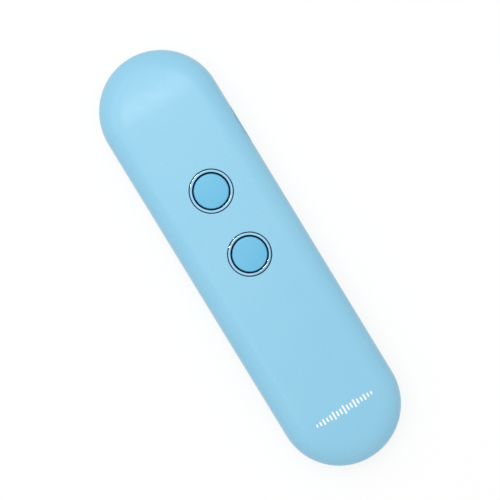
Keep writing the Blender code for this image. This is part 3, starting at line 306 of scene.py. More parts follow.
def between(tree, factor, low, high):
    """Spread a noise's middle range between two values."""
    noise = {"Value": factor, "From_Min": NOISE_LOW, "From_Max": NOISE_HIGH}
    return add_node(tree, "MapRange", To_Min=low, To_Max=high, **noise).outputs["Result"]


def blend(tree, factor, first, second, kind="RGBA"):
    """Mix two colours, or two numbers, by a factor."""
    mix = tree.nodes.new("ShaderNodeMix")
    mix.data_type = kind
    return connect(tree, mix, Factor=factor, A=first, B=second).outputs["Result"]


def relief(tree, height, depth):
    """A bump of the given depth."""
    return add_node(tree, "Bump", Strength=1.0, Distance=depth, Height=height).outputs["Normal"]


def open_finish(name, **sockets):
    """A new material, its node tree and its object coordinates, with some of its values set."""
    material = bpy.data.materials.new(name)
    material.use_nodes = True
    tree = material.node_tree
    connect(tree, tree.nodes["Principled BSDF"], **sockets)
    return material, tree, add_node(tree, "TexCoord").outputs["Object"]


def close_finish(material, colour, roughness, normal):
    """The material with its colour, roughness and normal wired to its shader."""
    tree = material.node_tree
    shader = tree.nodes["Principled BSDF"]
    connect(tree, shader, Base_Color=colour, Roughness=roughness, Normal=normal)
    return material


def moulded(name, tones, gloss, grit, patch=0.012, **sockets):
    """A moulded or sprayed surface: two close tones in patches, a fine grit of a given size and
    depth, and a gloss that wanders between two roughness values."""
    material, tree, place = open_finish(name, **sockets)
    size, depth = grit
    patches = between(tree, grain(tree, place, patch, detail=0.5), 0, 1)
    tone = blend(tree, patches, *map(linear, tones))
    wander = between(tree, grain(tree, place, patch / 4, detail=0.5), *gloss)
    return close_finish(material, tone, wander, relief(tree, grain(tree, place, size), depth))


def flat_ring(inset, height):
    """A level ring at an inset from the housing's plan."""
    return level(stadium(HALF_WIDTH - inset), height)


def rear_rings(depth, steps):
    """Rings of the rear shell's surface at a depth inside its skin, from its side to its floor."""
    rings = []
    for angle in quarter(steps):
        inset = depth + REAR_EDGE_RUN * (1 - math.cos(angle) ** (2 / EDGE_POWER))
        drop = (REAR_EDGE_RISE - depth) * math.sin(angle) ** (2 / EDGE_POWER)
        rings.append(flat_ring(inset, REAR_EDGE_RISE - drop))
    return rings


def end_y(x, inset):
    """How far along the length the round end lies at x, at an inset from the plan."""
    return HALF_STRAIGHT + math.sqrt((HALF_WIDTH - inset) ** 2 - x ** 2)


def socket_outline(growth):
    """The charging socket's outline, let out by a growth on every side."""
    width, height = SOCKET_WIDTH + 2 * growth, SOCKET_HEIGHT + 2 * growth
    return rounded_rectangle(width, height, SOCKET_CORNER_RADIUS + growth, steps=10)


def end_openings():
    """Cutters for the charging opening, both microphone holes and the status light's hole."""
    outside = HALF_LENGTH + OVERRUN
    charging, sound, light = bmesh.new(), bmesh.new(), bmesh.new()
    inside = OVERRUN - end_y(SOCKET_WIDTH / 2, WALL)
    prism(charging, socket_outline(FIT_GAP), -outside, inside, along_y(0, SOCKET_Z))
    hole = circle(SOUND_HOLE_RADIUS, SOUND_HOLE_STEPS)
    side_inside = OVERRUN - end_y(SIDE_HOLE_OFFSET, WALL)
    prism(sound, hole, end_y(0, WALL) - OVERRUN, outside, along_y(0, END_HOLE_HEIGHT))
    prism(sound, hole, -outside, side_inside, along_y(SIDE_HOLE_OFFSET, END_HOLE_HEIGHT))
    hole = circle(LIGHT_HOLE_RADIUS, LIGHT_HOLE_STEPS)
    prism(light, hole, -outside, side_inside, along_y(-SIDE_HOLE_OFFSET, END_HOLE_HEIGHT))
    shapes = (("charging_cut", charging), ("sound_cut", sound), ("light_cut", light))
    return [shade_lined_tool(name, shape) for name, shape in shapes]


def rear_ribs():
    """The battery's ribs and the speaker's round seat, as drawn above the floor."""
    ribs, cup = bmesh.new(), bmesh.new()
    low, high = WALL / 2, WALL + RIB_HEIGHT
    middle_y, length = centre("battery_cell")[1], cell_high.y - cell_low.y
    for edge, way in ((cell_high.y, 1), (cell_low.y, -1)):
        near, far = sorted((edge + way * FIT_GAP, edge + way * (FIT_GAP + RIB_THICKNESS)))
        block(ribs, (-END_RIB_LENGTH / 2, near, low), (END_RIB_LENGTH / 2, far, high))
    inner_x = cell_high.x + FIT_GAP
    for side in (-1, 1):
        near, far = sorted((side * inner_x, side * (inner_x + RIB_THICKNESS)))
        for way in (-1, 1):
            rib_y = middle_y + way * length * SIDE_RIB_SPACING_SHARE / 2
            half = SIDE_RIB_LENGTH / 2
            block(ribs, (near, rib_y - half, low), (far, rib_y + half, high))
    bore = SPEAKER_RADIUS + FIT_GAP
    radius, top = bore + SPEAKER_SEAT_WALL, WALL + SPEAKER_SEAT_HEIGHT
    profile = [(bore, low), (radius, low), (radius, top), (bore, top)]
    lathe(cup, profile, Matrix.Translation((0, SPEAKER_Y, 0)))
    return shade_lined_tool("ribs", ribs), shade_lined_tool("speaker_seat", cup)


def grille_cuts():
    """Sound holes in rings about the speaker's axis, each with a small round lip outside."""
    shape = bmesh.new()
    places = [(0, 0)]
    for ring in range(1, GRILLE_RINGS + 1):
        places += circle(ring * GRILLE_RING_PITCH, GRILLE_FIRST_RING_HOLES * ring)
    lip = arc(GRILLE_HOLE_RADIUS + GRILLE_LIP, GRILLE_LIP, -GRILLE_LIP, GRILLE_LIP, steps=4, turns=-1)
    top = WALL + FIT_GAP / 2
    profile = [(0, -OVERRUN), (lip[0][0], -OVERRUN), *lip, (GRILLE_HOLE_RADIUS, top), (0, top)]
    for x, y in places:
        lathe(shape, profile, Matrix.Translation((x, SPEAKER_Y + y, 0)), GRILLE_HOLE_STEPS)
    return shade_lined_tool("grille_cuts", shape)


satin_plastic = moulded(
    "satin_light_blue", SATIN_BLUE, gloss=(0.25, 0.28), grit=(0.0002, 0.0000008), Specular_IOR_Level=0.38
)
shade_navy_plastic = moulded(
    "navy_painted_shade", SHADE_NAVY, gloss=(0.55, 0.70), grit=(0.0001, 0.000002), Specular_IOR_Level=0.3
)

shape = bmesh.new()
groove_inset = WALL - TONGUE_THICKNESS - FIT_GAP
groove_floor = PARTING_HEIGHT - TONGUE_DEPTH - FIT_GAP
rim_top = PARTING_HEIGHT - FIT_GAP
rear_rim = [
    flat_ring(WALL, groove_floor),
    flat_ring(groove_inset, groove_floor),
    flat_ring(groove_inset, rim_top),
    flat_ring(SEAM_CHAMFER, rim_top),
    flat_ring(SEAM_CHAMFER / 3, rim_top - SEAM_CHAMFER / 3),
    flat_ring(0, rim_top - SEAM_CHAMFER),
]
inside = rear_rings(WALL, steps=8)[::-1]
shade_bands = len(inside) + SHADE_RIM_BANDS
shell_rings = loft(shape, inside + rear_rim + rear_rings(0, steps=20), shade_bands=shade_bands)
close_with_strips(shape, shell_rings[0], PAINTED_SHADE)
close_with_strips(shape, shell_rings[-1], SPRAYED)
rear_half = cast("rear_half", shape, satin_plastic, shade_navy_plastic)
machine(rear_half, "UNION", *rear_ribs())
machine(rear_half, "DIFFERENCE", grille_cuts(), *end_openings())
seat(rear_half, "case", "satin_shell", "rear_shell")


# Battery
# A flat lithium pouch of laminated foil on a bed of grey foam. Two thin leads run from its end
# to a white plug, which is pushed into a header soldered under the board.

FOIL_SILVER = (160, 163, 168), (144, 148, 154)
FOAM_GREY = (64, 64, 66), (46, 46, 48)
NYLON_WHITE = (226, 223, 211), (216, 212, 198)
WIRE_RED = (178, 20, 16), (164, 16, 13)
WIRE_BLACK = (22, 22, 23), (15, 15, 16)
AMBER_TAPE = (176, 104, 30), (164, 92, 24)
TAPE_WIDTH = 0.0050
TAPE_SETBACK = 0.0012
TAPE_STAND = 0.00006
JOIN_REACH = 0.000002
BEVEL_ANGLE = math.radians(30)


def dress(name, finish, edge=0.00006, steps=2):
    """Give a carried-over node its finish, round its edges and shade it evenly."""
    node = nodes[name]
    node.data.materials.clear()
    node.data.materials.append(finish)
    if not edge:
        return
    weld = node.modifiers.new("join_faces", "WELD")
    weld.merge_threshold = JOIN_REACH
    bevel = node.modifiers.new("eased_edges", "BEVEL")
    bevel.width = edge
    bevel.segments = steps
    bevel.angle_limit = BEVEL_ANGLE
    shade_evenly(node)


foil = moulded(
    "pouch_foil", FOIL_SILVER, gloss=(0.34, 0.46), grit=(0.0006, 0.000004), patch=0.004, Metallic=0.9
)
foam = moulded("grey_foam", FOAM_GREY, gloss=(0.90, 1.0), grit=(0.00035, 0.0001), patch=0.0006)
nylon = moulded("natural_nylon", NYLON_WHITE, gloss=(0.40, 0.52), grit=(0.0001, 0.000002), patch=0.002)
tape = moulded("amber_tape", AMBER_TAPE, gloss=(0.14, 0.22), grit=(0.0008, 0.00001), patch=0.003)

dress("battery_cell", foil, edge=0.0010, steps=5)
dress("battery_foam", foam, edge=0.00008)
dress("battery_header", nylon, edge=0.00012)
dress("battery_plug", nylon, edge=0.00012)
for colour, tones in (("red", WIRE_RED), ("black", WIRE_BLACK)):
    wire = moulded(colour + "_wire", tones, gloss=(0.36, 0.46), grit=(0.0001, 0.000002), patch=0.001)
    for piece in ("battery", "speaker"):
        dress(f"{piece}_lead_{colour}", wire, edge=0)

shape = bmesh.new()
tape_outline = rounded_rectangle(cell_high.x - cell_low.x - 2 * FIT_GAP, TAPE_WIDTH, FIT_GAP, steps=4)
tape_lift = Matrix.Translation((0, cell_low.y + TAPE_SETBACK + TAPE_WIDTH / 2, 0))
prism(shape, tape_outline, cell_high.z, cell_high.z + TAPE_STAND, tape_lift)
seat(cast("battery_tape", shape, tape), "case", "clear_plastic")


# Speaker
# A round moving-coil speaker face down over the grille: woven dust mesh, foam gasket, thin
# domed diaphragm in a black frame, and a steel-backed magnet pressed into the frame's back.

FRAME_BLACK = (17, 17, 19), (12, 12, 14)
CONE_BROWN = (40, 34, 30), (32, 27, 24)
MESH_GAP = (6, 6, 7)
MESH_THREAD = (62, 63, 66)
MESH_PITCH = 0.0003
WAVE_REPEAT = math.tau / 20
STREAK_STRETCH = (1, 12, 1)
STEEL_TONE = (168, 170, 173), (150, 152, 156)


def brushed_steel(name, tones, gloss):
    """Drawn sheet steel: fine streaks along one way, faint stains and a soft metallic gloss."""
    material, tree, place = open_finish(name, Metallic=1.0)
    streaks = add_node(tree, "Mapping", Scale=STREAK_STRETCH, Vector=place).outputs["Vector"]
    lines = grain(tree, streaks, size=0.0004)
    stains = between(tree, grain(tree, place, size=0.003), 0, 1)
    tone = blend(tree, stains, *map(linear, tones))
    return close_finish(material, tone, between(tree, lines, *gloss), relief(tree, lines, depth=0.000003))


def calculate(tree, operation, first, second):
    """Combine two numbers, each another node's output or a plain value."""
    maths = add_node(tree, "Math", first, second)
    maths.operation = operation
    return maths.outputs["Value"]


def woven_mesh(name):
    """A fine woven screen: threads over and under each other, dark between them."""
    material, tree, place = open_finish(name)
    heights = []
    for axis in ("X", "Y"):
        wave = add_node(tree, "TexWave", Scale=WAVE_REPEAT / (2 * MESH_PITCH), Vector=place)
        wave.bands_direction = axis
        heights.append(wave.outputs["Fac"])
    top = calculate(tree, "MAXIMUM", *heights)
    tone = blend(tree, top, linear(MESH_GAP), linear(MESH_THREAD))
    gloss = between(tree, top, low=0.9, high=0.45)
    return close_finish(material, tone, gloss, relief(tree, top, depth=0.00004))


black_plastic = moulded("black_moulding", FRAME_BLACK, gloss=(0.42, 0.55), grit=(0.0001, 0.000003))
cone = moulded("speaker_film", CONE_BROWN, gloss=(0.30, 0.40), grit=(0.0004, 0.000004), patch=0.002)
steel = brushed_steel("drawn_steel", STEEL_TONE, gloss=(0.24, 0.38))
dust_screen = woven_mesh("dust_screen")

dress("speaker_mesh", dust_screen, edge=0)
dress("speaker_gasket", foam, edge=0.00005)
dress("speaker_frame", black_plastic, edge=0.00008)
dress("speaker_magnet", steel, edge=0.00015, steps=3)
dress("speaker_diaphragm", cone, edge=0)


# Charging socket
# A drawn steel shell soldered under the board's lower end, just inside the housing's opening. A
# black tongue stands inside it with rows of gold contacts on both faces.

SOCKET_WALL = 0.0003
TONGUE_HALF_THICKNESS = 0.00035
CONTACTS = 12
CONTACT_PITCH = 0.0005
CONTACT_WIDTH = 0.00026
CONTACT_LENGTH = 0.0032
CONTACT_SETBACK = 0.00128
CONTACT_STAND = 0.00003
GOLD = (214, 178, 96), (196, 158, 80)

mouth_y, back_y = socket_low.y, socket_high.y
shape = bmesh.new()
outer, bore, lip = socket_outline(0), socket_outline(-SOCKET_WALL), socket_outline(-SOCKET_WALL / 2)
eased = SOCKET_WALL / 3
tube = [
    (bore, back_y - SOCKET_WALL),
    (bore, mouth_y + eased),
    (lip, mouth_y),
    (outer, mouth_y + eased),
    (outer, back_y - eased),
    (lip, back_y),
]
loft(shape, [level(outline, height) for outline, height in tube], capped=True)
bmesh.ops.transform(shape, matrix=along_y(0, SOCKET_Z), verts=shape.verts)
seat(cast("socket_shell", shape, steel), "case", "steel", "charge_socket")

dress("charge_socket_tongue", black_plastic, edge=0.00012)
gold = brushed_steel("contact_gold", GOLD, gloss=(0.16, 0.26))
shape = bmesh.new()
near, far = mouth_y + CONTACT_SETBACK, mouth_y + CONTACT_SETBACK + CONTACT_LENGTH
for face in (-1, 1):
    flush = SOCKET_Z + face * TONGUE_HALF_THICKNESS
    low, high = sorted((flush, flush + face * CONTACT_STAND))
    for number in range(CONTACTS):
        x = (number - (CONTACTS - 1) / 2) * CONTACT_PITCH
        block(shape, (x - CONTACT_WIDTH / 2, near, low), (x + CONTACT_WIDTH / 2, far, high))
seat(cast("socket_contacts", shape, gold), "case", "steel")


# Microphones and status light
# Two small steel-lidded microphones under the board's ends, each over a black rubber boot that
# leads to its hole, and a white lamp over a clear moulded pipe that ends beside the socket.

RUBBER_BLACK = (26, 26, 27), (20, 20, 21)
LENS_CLEAR = (244, 248, 250)
PIPE_DOME = 0.00015
PIPE_NECK_SHARE = 0.9

rubber = moulded("boot_rubber", RUBBER_BLACK, gloss=(0.70, 0.85), grit=(0.0001, 0.000005))
for side in ("top", "bottom"):
    dress(side + "_microphone", steel, edge=0.00012, steps=3)
    dress(side + "_mic_boot", rubber, edge=0.00008)
dress("status_light", nylon)

lens, tree, place = open_finish("clear_lens", IOR=1.49, Transmission_Weight=0.15)
haze = between(tree, grain(tree, place, size=0.0003), low=0.12, high=0.22)
bump = relief(tree, grain(tree, place, size=0.0002), depth=0.000004)
close_finish(lens, linear(LENS_CLEAR), haze, bump)

pipe_low, pipe_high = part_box("status_light_pipe")
pipe_radius = (pipe_high.x - pipe_low.x) / 2
pipe_x, column_y = pipe_low.x + pipe_radius, pipe_high.y - pipe_radius
neck_radius, column_face = pipe_radius * PIPE_NECK_SHARE, column_y - pipe_radius
dome = arc(0, pipe_low.y + PIPE_DOME, pipe_radius, PIPE_DOME, steps=8, turns=-1)
profile = [
    (0, pipe_low.y),
    *dome[1:],
    (pipe_radius, column_face - PIPE_DOME),
    (neck_radius, column_face + PIPE_DOME),
    (neck_radius, column_y),
    (0, column_y),
]
rod, column = bmesh.new(), bmesh.new()
lathe(rod, profile, along_y(pipe_x, pipe_low.z + pipe_radius), steps=48)
outline = rounded_rectangle(2 * pipe_radius, 2 * pipe_radius, PIPE_DOME, steps=4)
column_place = Matrix.Translation((pipe_x, column_y, 0))
prism(column, outline, pipe_low.z + pipe_radius / 2, pipe_high.z, column_place)
pipe = cast("light_pipe", column, lens)
machine(pipe, "UNION", cast("pipe_rod", rod, lens))
seat(pipe, "case", "clear_plastic", "status_light_pipe")


# Circuit board
# A green glass laminate board that follows the housing's plan, with copper tracks under its
# solder mask, screwed up into the front shell from behind. Chips, a radio can, a crystal, an
# inductor and a ceramic antenna are soldered to its front.

MASK_GREEN = (14, 78, 46)
TRACK_GREEN = (36, 118, 70)
TINNED = (196, 196, 190)
TRACK_CELL = 0.0011
TRACK_LAYOUT = {"Brick_Width": 3.0, "Row_Height": 0.5, "Mortar_Size": 0.055, "Mortar_Smooth": 0.3}
TRACK_PATCH = 0.0090
HOLE_SPACING = 0.0042
HOLE_SHARE = 0.075
CHIPS = ("main_processor", "memory_chip", "charge_controller", "audio_amplifier")
PRINT_MARGIN = 0.00065
PRINT_WHITE = (232, 233, 228), (222, 224, 218)
PRINT_LINE = 0.00013
PRINT_STAND = 0.00001
PRINT_DOT_RADIUS = 0.000208
PRINT_DOT_OFFSET = 0.00052
LEAD_PITCH = 0.0005
LEAD_WIDTH = 0.00024
LEAD_REACH = 0.00035
LEAD_STAND = 0.00012
CHIP_BLACK = (34, 34, 37), (26, 26, 28)
CERAMIC_CREAM = (217, 209, 184), (206, 197, 168)
SCREW_NUMBERS = range(1, 7)
SCREW_HEAD_HEIGHT = 0.0009
SCREW_DOME_HEIGHT = 0.0004
SCREW_SHANK_RADIUS = 0.0007
SCREW_TURNS = 8
SCREW_ROOT_SHARE = 0.86
SCREW_FLAT_SHARE = 0.45
SCREW_CREST_SHARES = (0.4, 0.5)
SCREW_STOP_TURN = 0.4
SCREW_RECESS_RADIUS = 0.0008
SCREW_RECESS_WIDTH = 0.00035
SCREW_RECESS_DEPTH = 0.0005
BOARD_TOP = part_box("circuit_board")[1].z


def board_laminate(name):
    """Solder mask over copper: patches of thin tracks, each patch in its own direction, that stand
    a little proud and show through as a lighter green, with tinned holes between them."""
    material, tree, place = open_finish(name, Coat_Weight=0.4, Coat_Roughness=0.15)
    patches = calculate(tree, "GREATER_THAN", grain(tree, place, TRACK_PATCH, detail=0.0), 0.5)
    mask, track = linear(MASK_GREEN), linear(TRACK_GREEN)
    ways = []
    for turn in (0, math.pi / 2):
        lay = add_node(tree, "Mapping", Rotation=(0, 0, turn), Vector=place).outputs["Vector"]
        cells = add_node(tree, "TexBrick", lay, mask, mask, track, Scale=1 / TRACK_CELL, **TRACK_LAYOUT)
        ways.append(cells.outputs)
    routed = blend(tree, patches, ways[0]["Color"], ways[1]["Color"])
    height = blend(tree, patches, ways[0]["Fac"], ways[1]["Fac"], "FLOAT")
    holes = add_node(tree, "TexVoronoi", Scale=1 / HOLE_SPACING, Vector=place).outputs["Distance"]
    tinned = calculate(tree, "LESS_THAN", holes, HOLE_SHARE)
    tone = blend(tree, tinned, routed, linear(TINNED))
    gloss = between(tree, grain(tree, place, size=0.001), low=0.30, high=0.42)
    return close_finish(material, tone, gloss, relief(tree, height, depth=0.00002))


def plate(shape, outer, inner, low, high):
    """A flat plate between an outer and an inner outline, from low to high."""
    corners = ((outer, low), (outer, high), (inner, high), (inner, low))
    loft(shape, [level(outline, height) for outline, height in corners], closed=True)


def board_print():
    """White frames printed round the parts on the board's front, with a dot at each first pin."""
    shape = bmesh.new()
    top = BOARD_TOP + PRINT_STAND
    for name in (*CHIPS, "power_inductor", "crystal", "chip_antenna"):
        low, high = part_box(name)
        x, y = centre(name)[:2]
        width, length = high.x - low.x + 2 * PRINT_MARGIN, high.y - low.y + 2 * PRINT_MARGIN
        outer = rounded_rectangle(width, length, PRINT_LINE * 2, steps=3)
        width, length = width - 2 * PRINT_LINE, length - 2 * PRINT_LINE
        inner = rounded_rectangle(width, length, PRINT_LINE, steps=3)
        plate(shape, moved(outer, x, y), moved(inner, x, y), BOARD_TOP, top)
        dot_x, dot_y = x - width / 2 - PRINT_DOT_OFFSET, y + length / 2 + 2 * PRINT_LINE
        prism(shape, moved(circle(PRINT_DOT_RADIUS, steps=20), dot_x, dot_y), BOARD_TOP, top)
    return shape


def chip_leads():
    """Short tinned feet that stand out along the sides of the four chips."""
    shape = bmesh.new()
    for name in CHIPS:
        low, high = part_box(name)
        sides = ((low.x, high.x, low.y, high.y, False), (low.y, high.y, low.x, high.x, True))
        for near, far, start, end, crossed in sides:
            count = int((end - start - LEAD_PITCH) / LEAD_PITCH)
            for number in range(count):
                along = (start + end) / 2 + (number - (count - 1) / 2) * LEAD_PITCH
                for edge, way in ((near, -1), (far, 1)):
                    inner, outer = sorted((edge - way * LEAD_REACH, edge + way * LEAD_REACH))
                    corners = ((inner, along - LEAD_WIDTH / 2), (outer, along + LEAD_WIDTH / 2))
                    if crossed:
                        corners = [corner[::-1] for corner in corners]
                    block(shape, (*corners[0], BOARD_TOP), (*corners[1], BOARD_TOP + LEAD_STAND))
    return shape


laminate = board_laminate("green_laminate")
epoxy = moulded("chip_epoxy", CHIP_BLACK, gloss=(0.50, 0.66), grit=(0.00008, 0.000004), patch=0.002)
ceramic = moulded(
    "antenna_ceramic", CERAMIC_CREAM, gloss=(0.35, 0.5), grit=(0.0001, 0.000003), patch=0.001
)
board_ink = moulded("board_ink", PRINT_WHITE, gloss=(0.45, 0.60), grit=(0.0001, 0.000002), patch=0.001)
dress("circuit_board", laminate, edge=0.00005)
for name in CHIPS:
    dress(name, epoxy, edge=0.00007)
dress("power_inductor", epoxy, edge=0.0004, steps=4)
dress("chip_antenna", ceramic, edge=0.0001)
dress("crystal", steel, edge=0.00015, steps=3)
dress("radio_shield", steel, edge=0.00012, steps=3)
seat(cast("board_print", board_print(), board_ink), "case", "white_nylon")
seat(cast("chip_leads", chip_leads(), steel), "case", "steel")

for number in SCREW_NUMBERS:
    name = f"board_screw_{number}"
    low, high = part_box(name)
    radius = (high.x - low.x) / 2
    place = Matrix.Translation((*centre(name)[:2], 0))
    head_top = low.z + SCREW_HEAD_HEIGHT
    pitch = (high.z - head_top - SCREW_SHANK_RADIUS) / SCREW_TURNS
    root, flat = SCREW_SHANK_RADIUS * SCREW_ROOT_SHARE, radius * SCREW_FLAT_SHARE
    dome = arc(flat, low.z + SCREW_DOME_HEIGHT, radius - flat, SCREW_DOME_HEIGHT, steps=6, turns=-1)
    profile = [(0, low.z), *dome, (radius, head_top)]
    for turn in range(SCREW_TURNS):
        start = head_top + pitch * turn
        crest = [(SCREW_SHANK_RADIUS, start + share * pitch) for share in SCREW_CREST_SHARES]
        profile += [(root, start), *crest]
    profile += [(root, high.z - SCREW_SHANK_RADIUS), (0, high.z)]
    shape = bmesh.new()
    lathe(shape, profile, place, steps=40)
    screw = cast(f"screw_{number}", shape, steel)
    recess = bmesh.new()
    half, arm = SCREW_RECESS_WIDTH / 2, SCREW_RECESS_RADIUS
    cross = [
        (arm, -half), (arm, half), (half, half), (half, arm), (-half, arm), (-half, half),
        (-arm, half), (-arm, -half), (-half, -half), (-half, -arm), (half, -arm), (half, -half),
    ]
    stop = place @ Matrix.Rotation(number * SCREW_STOP_TURN, 4, "Z")
    prism(recess, cross, low.z - OVERRUN, low.z + SCREW_RECESS_DEPTH, stop)
    machine(screw, "DIFFERENCE", cast("recess", recess))
    seat(screw, "case", "steel", name)


# Push switches
# Two square tactile switches soldered to the board's front, one under each button: a black
# base, a stamped steel cover folded over it, and a white plunger on a snap dome.

SIDES = ("upper", "lower")
SWITCH_COVER_STAND = 0.00004
SWITCH_COVER_MARGIN = 0.0003
SWITCH_COVER_BORE_GAP = 0.00025

for side in SIDES:
    dress(side + "_switch_body", black_plastic, edge=0.00012)
    dress(side + "_switch_plunger", nylon, edge=0.00015, steps=3)
    body_low, body_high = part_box(side + "_switch_body")
    plunger_low, plunger_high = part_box(side + "_switch_plunger")
    y = centre(side + "_switch_body")[1]
    hole = circle((plunger_high.x - plunger_low.x) / 2 + SWITCH_COVER_BORE_GAP, steps=64)
    half = (body_high.x - body_low.x) / 2 - SWITCH_COVER_MARGIN
    square = [(half * a / max(abs(a), abs(b)), half * b / max(abs(a), abs(b))) for a, b in hole]
    shape = bmesh.new()
    top = body_high.z + SWITCH_COVER_STAND
    plate(shape, moved(square, 0, y), moved(hole, 0, y), body_high.z, top)
    seat(cast(side + "_switch_cover", shape, steel), "case", "steel")


# Power slide switch
# A steel-cased slide switch at the board's edge. Its white lever is held by the blue knob, which
# runs behind a slot in the front shell's side and shows three grip grooves.

CAP_BLUE = (102, 184, 219), (99, 182, 218)

cap_plastic = moulded(
    "button_blue_gloss", CAP_BLUE, gloss=(0.16, 0.22), grit=(0.0002, 0.0000006), Specular_IOR_Level=0.4
)
dress("power_switch_body", steel, edge=0.00008)
dress("power_switch_lever", nylon)
dress("power_knob", cap_plastic, edge=0.00008, steps=3)


# Button rings and caps
# Each button is a glossy blue cap on a snap switch, kept in by its flange. Round it a polished pale
# ring is held through the shell; the sides of both are dark navy, painted shade in the gaps between.

RING_FLANGE_RADIUS = 0.0077
RING_FLANGE_THICKNESS = 0.00085
RING_RADIUS = 0.0064
RING_BORE_RADIUS = 0.0057
RING_EDGE_RADIUS = 0.00009
CAP_RADIUS = 0.0052
CAP_EDGE_RADIUS = 0.0004
CAP_WALL = 0.0012
CAP_FLANGE_THICKNESS = 0.0006
CAP_CROWN = 0.00015
CAP_CROWN_STEPS = 12
TURNED_STEPS = 144
PUSHER_RADIUS = 0.0012
PUSHER_LENGTH = 0.0011
RING_PALE = (118, 157, 178), (114, 154, 176)


def polished_ring(name):
    """Polished metal tinted pale blue: a tight gloss with faint turning marks."""
    material, tree, place = open_finish(name, Metallic=1.0)
    patches = between(tree, grain(tree, place, size=0.003), 0, 1)
    tone = blend(tree, patches, *map(linear, RING_PALE))
    gloss = between(tree, grain(tree, place, size=0.0006), low=0.07, high=0.10)
    marks = relief(tree, grain(tree, place, size=0.0003), depth=0.0000008)
    return close_finish(material, tone, gloss, marks)


ring_metal = polished_ring("pale_plating")
ring_trim = bpy.data.collections.new("ring_trim")
for side in SIDES:
    ring_low, ring_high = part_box(side + "_button_ring")
    turn = Matrix.Translation((0, centre(side + "_button_ring")[1], 0))
    flange_top, middle = ring_low.z + RING_FLANGE_THICKNESS, ring_high.z - RING_EDGE_RADIUS
    profile = [
        (RING_BORE_RADIUS, middle),
        (RING_BORE_RADIUS, ring_low.z),
        (RING_FLANGE_RADIUS, ring_low.z),
        (RING_FLANGE_RADIUS, flange_top),
        (RING_RADIUS, flange_top),
    ]
    # The ring's bore, foot and outer wall take the dark navy, painted shade in the gaps beside it.
    ring_shade_bands = len(profile)
    profile += arc(RING_RADIUS - RING_EDGE_RADIUS, middle, RING_EDGE_RADIUS, RING_EDGE_RADIUS, steps=8)
    inner_edge = RING_BORE_RADIUS + RING_EDGE_RADIUS
    profile += arc(inner_edge, middle, RING_EDGE_RADIUS, RING_EDGE_RADIUS, steps=8, turns=1)[:-1]
    shape = bmesh.new()
    lathe(shape, profile, turn, TURNED_STEPS, ring_shade_bands)
    ring = cast(side + "_ring", shape, ring_metal, shade_navy_plastic)
    seat(ring, "case", "bright_ring", side + "_button_ring")
    ring_trim.objects.link(ring)

    cap_low, cap_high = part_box(side + "_button_cap")
    underside = cap_low.z + PUSHER_LENGTH
    hollow_radius, flat_radius = CAP_RADIUS - CAP_WALL, CAP_RADIUS - CAP_EDGE_RADIUS
    flange_radius = (cap_high.x - cap_low.x) / 2
    flange_top = ring_low.z - FIT_GAP
    shoulder = cap_high.z - CAP_CROWN - CAP_EDGE_RADIUS
    profile = [
        (0, cap_low.z),
        (PUSHER_RADIUS, cap_low.z),
        (PUSHER_RADIUS, underside),
        (hollow_radius, underside),
        (hollow_radius, flange_top - CAP_FLANGE_THICKNESS),
        (flange_radius, flange_top - CAP_FLANGE_THICKNESS),
        (flange_radius, flange_top),
        (CAP_RADIUS, flange_top),
    ]
    # The cap's underside and sides take the dark navy, painted shade in the gap round it.
    cap_shade_bands = len(profile) - 1
    profile += arc(flat_radius, shoulder, CAP_EDGE_RADIUS, CAP_EDGE_RADIUS, steps=10)
    for step in range(1, CAP_CROWN_STEPS):
        share = 1 - step / CAP_CROWN_STEPS
        profile.append((flat_radius * share, cap_high.z - CAP_CROWN * share ** 2))
    profile.append((0, cap_high.z))
    shape = bmesh.new()
    lathe(shape, profile, turn, TURNED_STEPS, cap_shade_bands)
    cap = cast(side + "_cap", shape, cap_plastic, shade_navy_plastic)
    seat(cap, side + "_button", "button_blue", side + "_button_cap")


# Front shell
# The front half of the housing, coloured like the rear with dark navy painted shade inside and in
# its cuts: a face with a slight crown that bends down over its last stretch to each end, and long
# soft edges. Inside are screw bosses, the rings' seats and a thick pad behind the slide knob's slot.

FACE_TOP = 0.0120
CEILING = FACE_TOP - WALL
FACE_CROWN = 0.0003
FRONT_EDGE_RUN = 0.0070
KNEE_RUN = 0.0200
END_DROP = 0.0025
WELL_RADIUS = RING_RADIUS + FIT_GAP
WELL_LIP = 0.00006
WELL_LIP_RISE = 0.000003
RING_SEAT_WALL = 0.0008
BOSS_BOTTOM = BOARD_TOP + FIT_GAP
BOSS_RADIUS = 0.0020
BOSS_BORE_RADIUS = 0.0010
SCREW_BITE = 0.0018
SCOOP_DEPTH = 0.00065
SCOOP_LENGTH = 0.0130
SCOOP_HEIGHT = 0.0040
SLIDE_TRAVEL = 0.0020
PAD_FACE_INSET = 0.00265
PAD_DEPTH = 0.0012
PAD_MARGIN = 0.0007
FLANGE_LAP = 0.0003

knob_low, knob_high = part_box("power_knob")
SLIDE_Y = centre("power_knob")[1] + SLIDE_TRAVEL / 2
SLIDE_Z = centre("power_knob")[2]
FLANGE_HALF_LENGTH = (knob_high.y - knob_low.y) / 2
FLANGE_HALF_HEIGHT = (knob_high.z - knob_low.z) / 2
PAD_FACE_X = HALF_WIDTH - PAD_FACE_INSET
NOTCH_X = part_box("power_switch_body")[1].x + FIT_GAP
BUTTON_YS = [centre(side + "_button_cap")[1] for side in SIDES]


def end_drop(y):
    """How far the face has bent down where it nears a tip."""
    past_knee = max(0, abs(y) - (HALF_LENGTH - KNEE_RUN))
    return END_DROP * (past_knee / KNEE_RUN) ** 2


def face_height(x, y, depth=0.0):
    """Height of the front face away from its rounded edge, or of a surface a depth below it."""
    return FACE_TOP - depth - FACE_CROWN * (x / HALF_WIDTH) ** 2 - end_drop(y)


def front_ring(inset, rise_share, depth):
    """One ring at an inset from the plan, at a share of the rise above the parting plane."""
    return [
        (x, y, PARTING_HEIGHT + rise_share * (face_height(x, y, depth) - PARTING_HEIGHT))
        for x, y in stadium(HALF_WIDTH - inset)
    ]


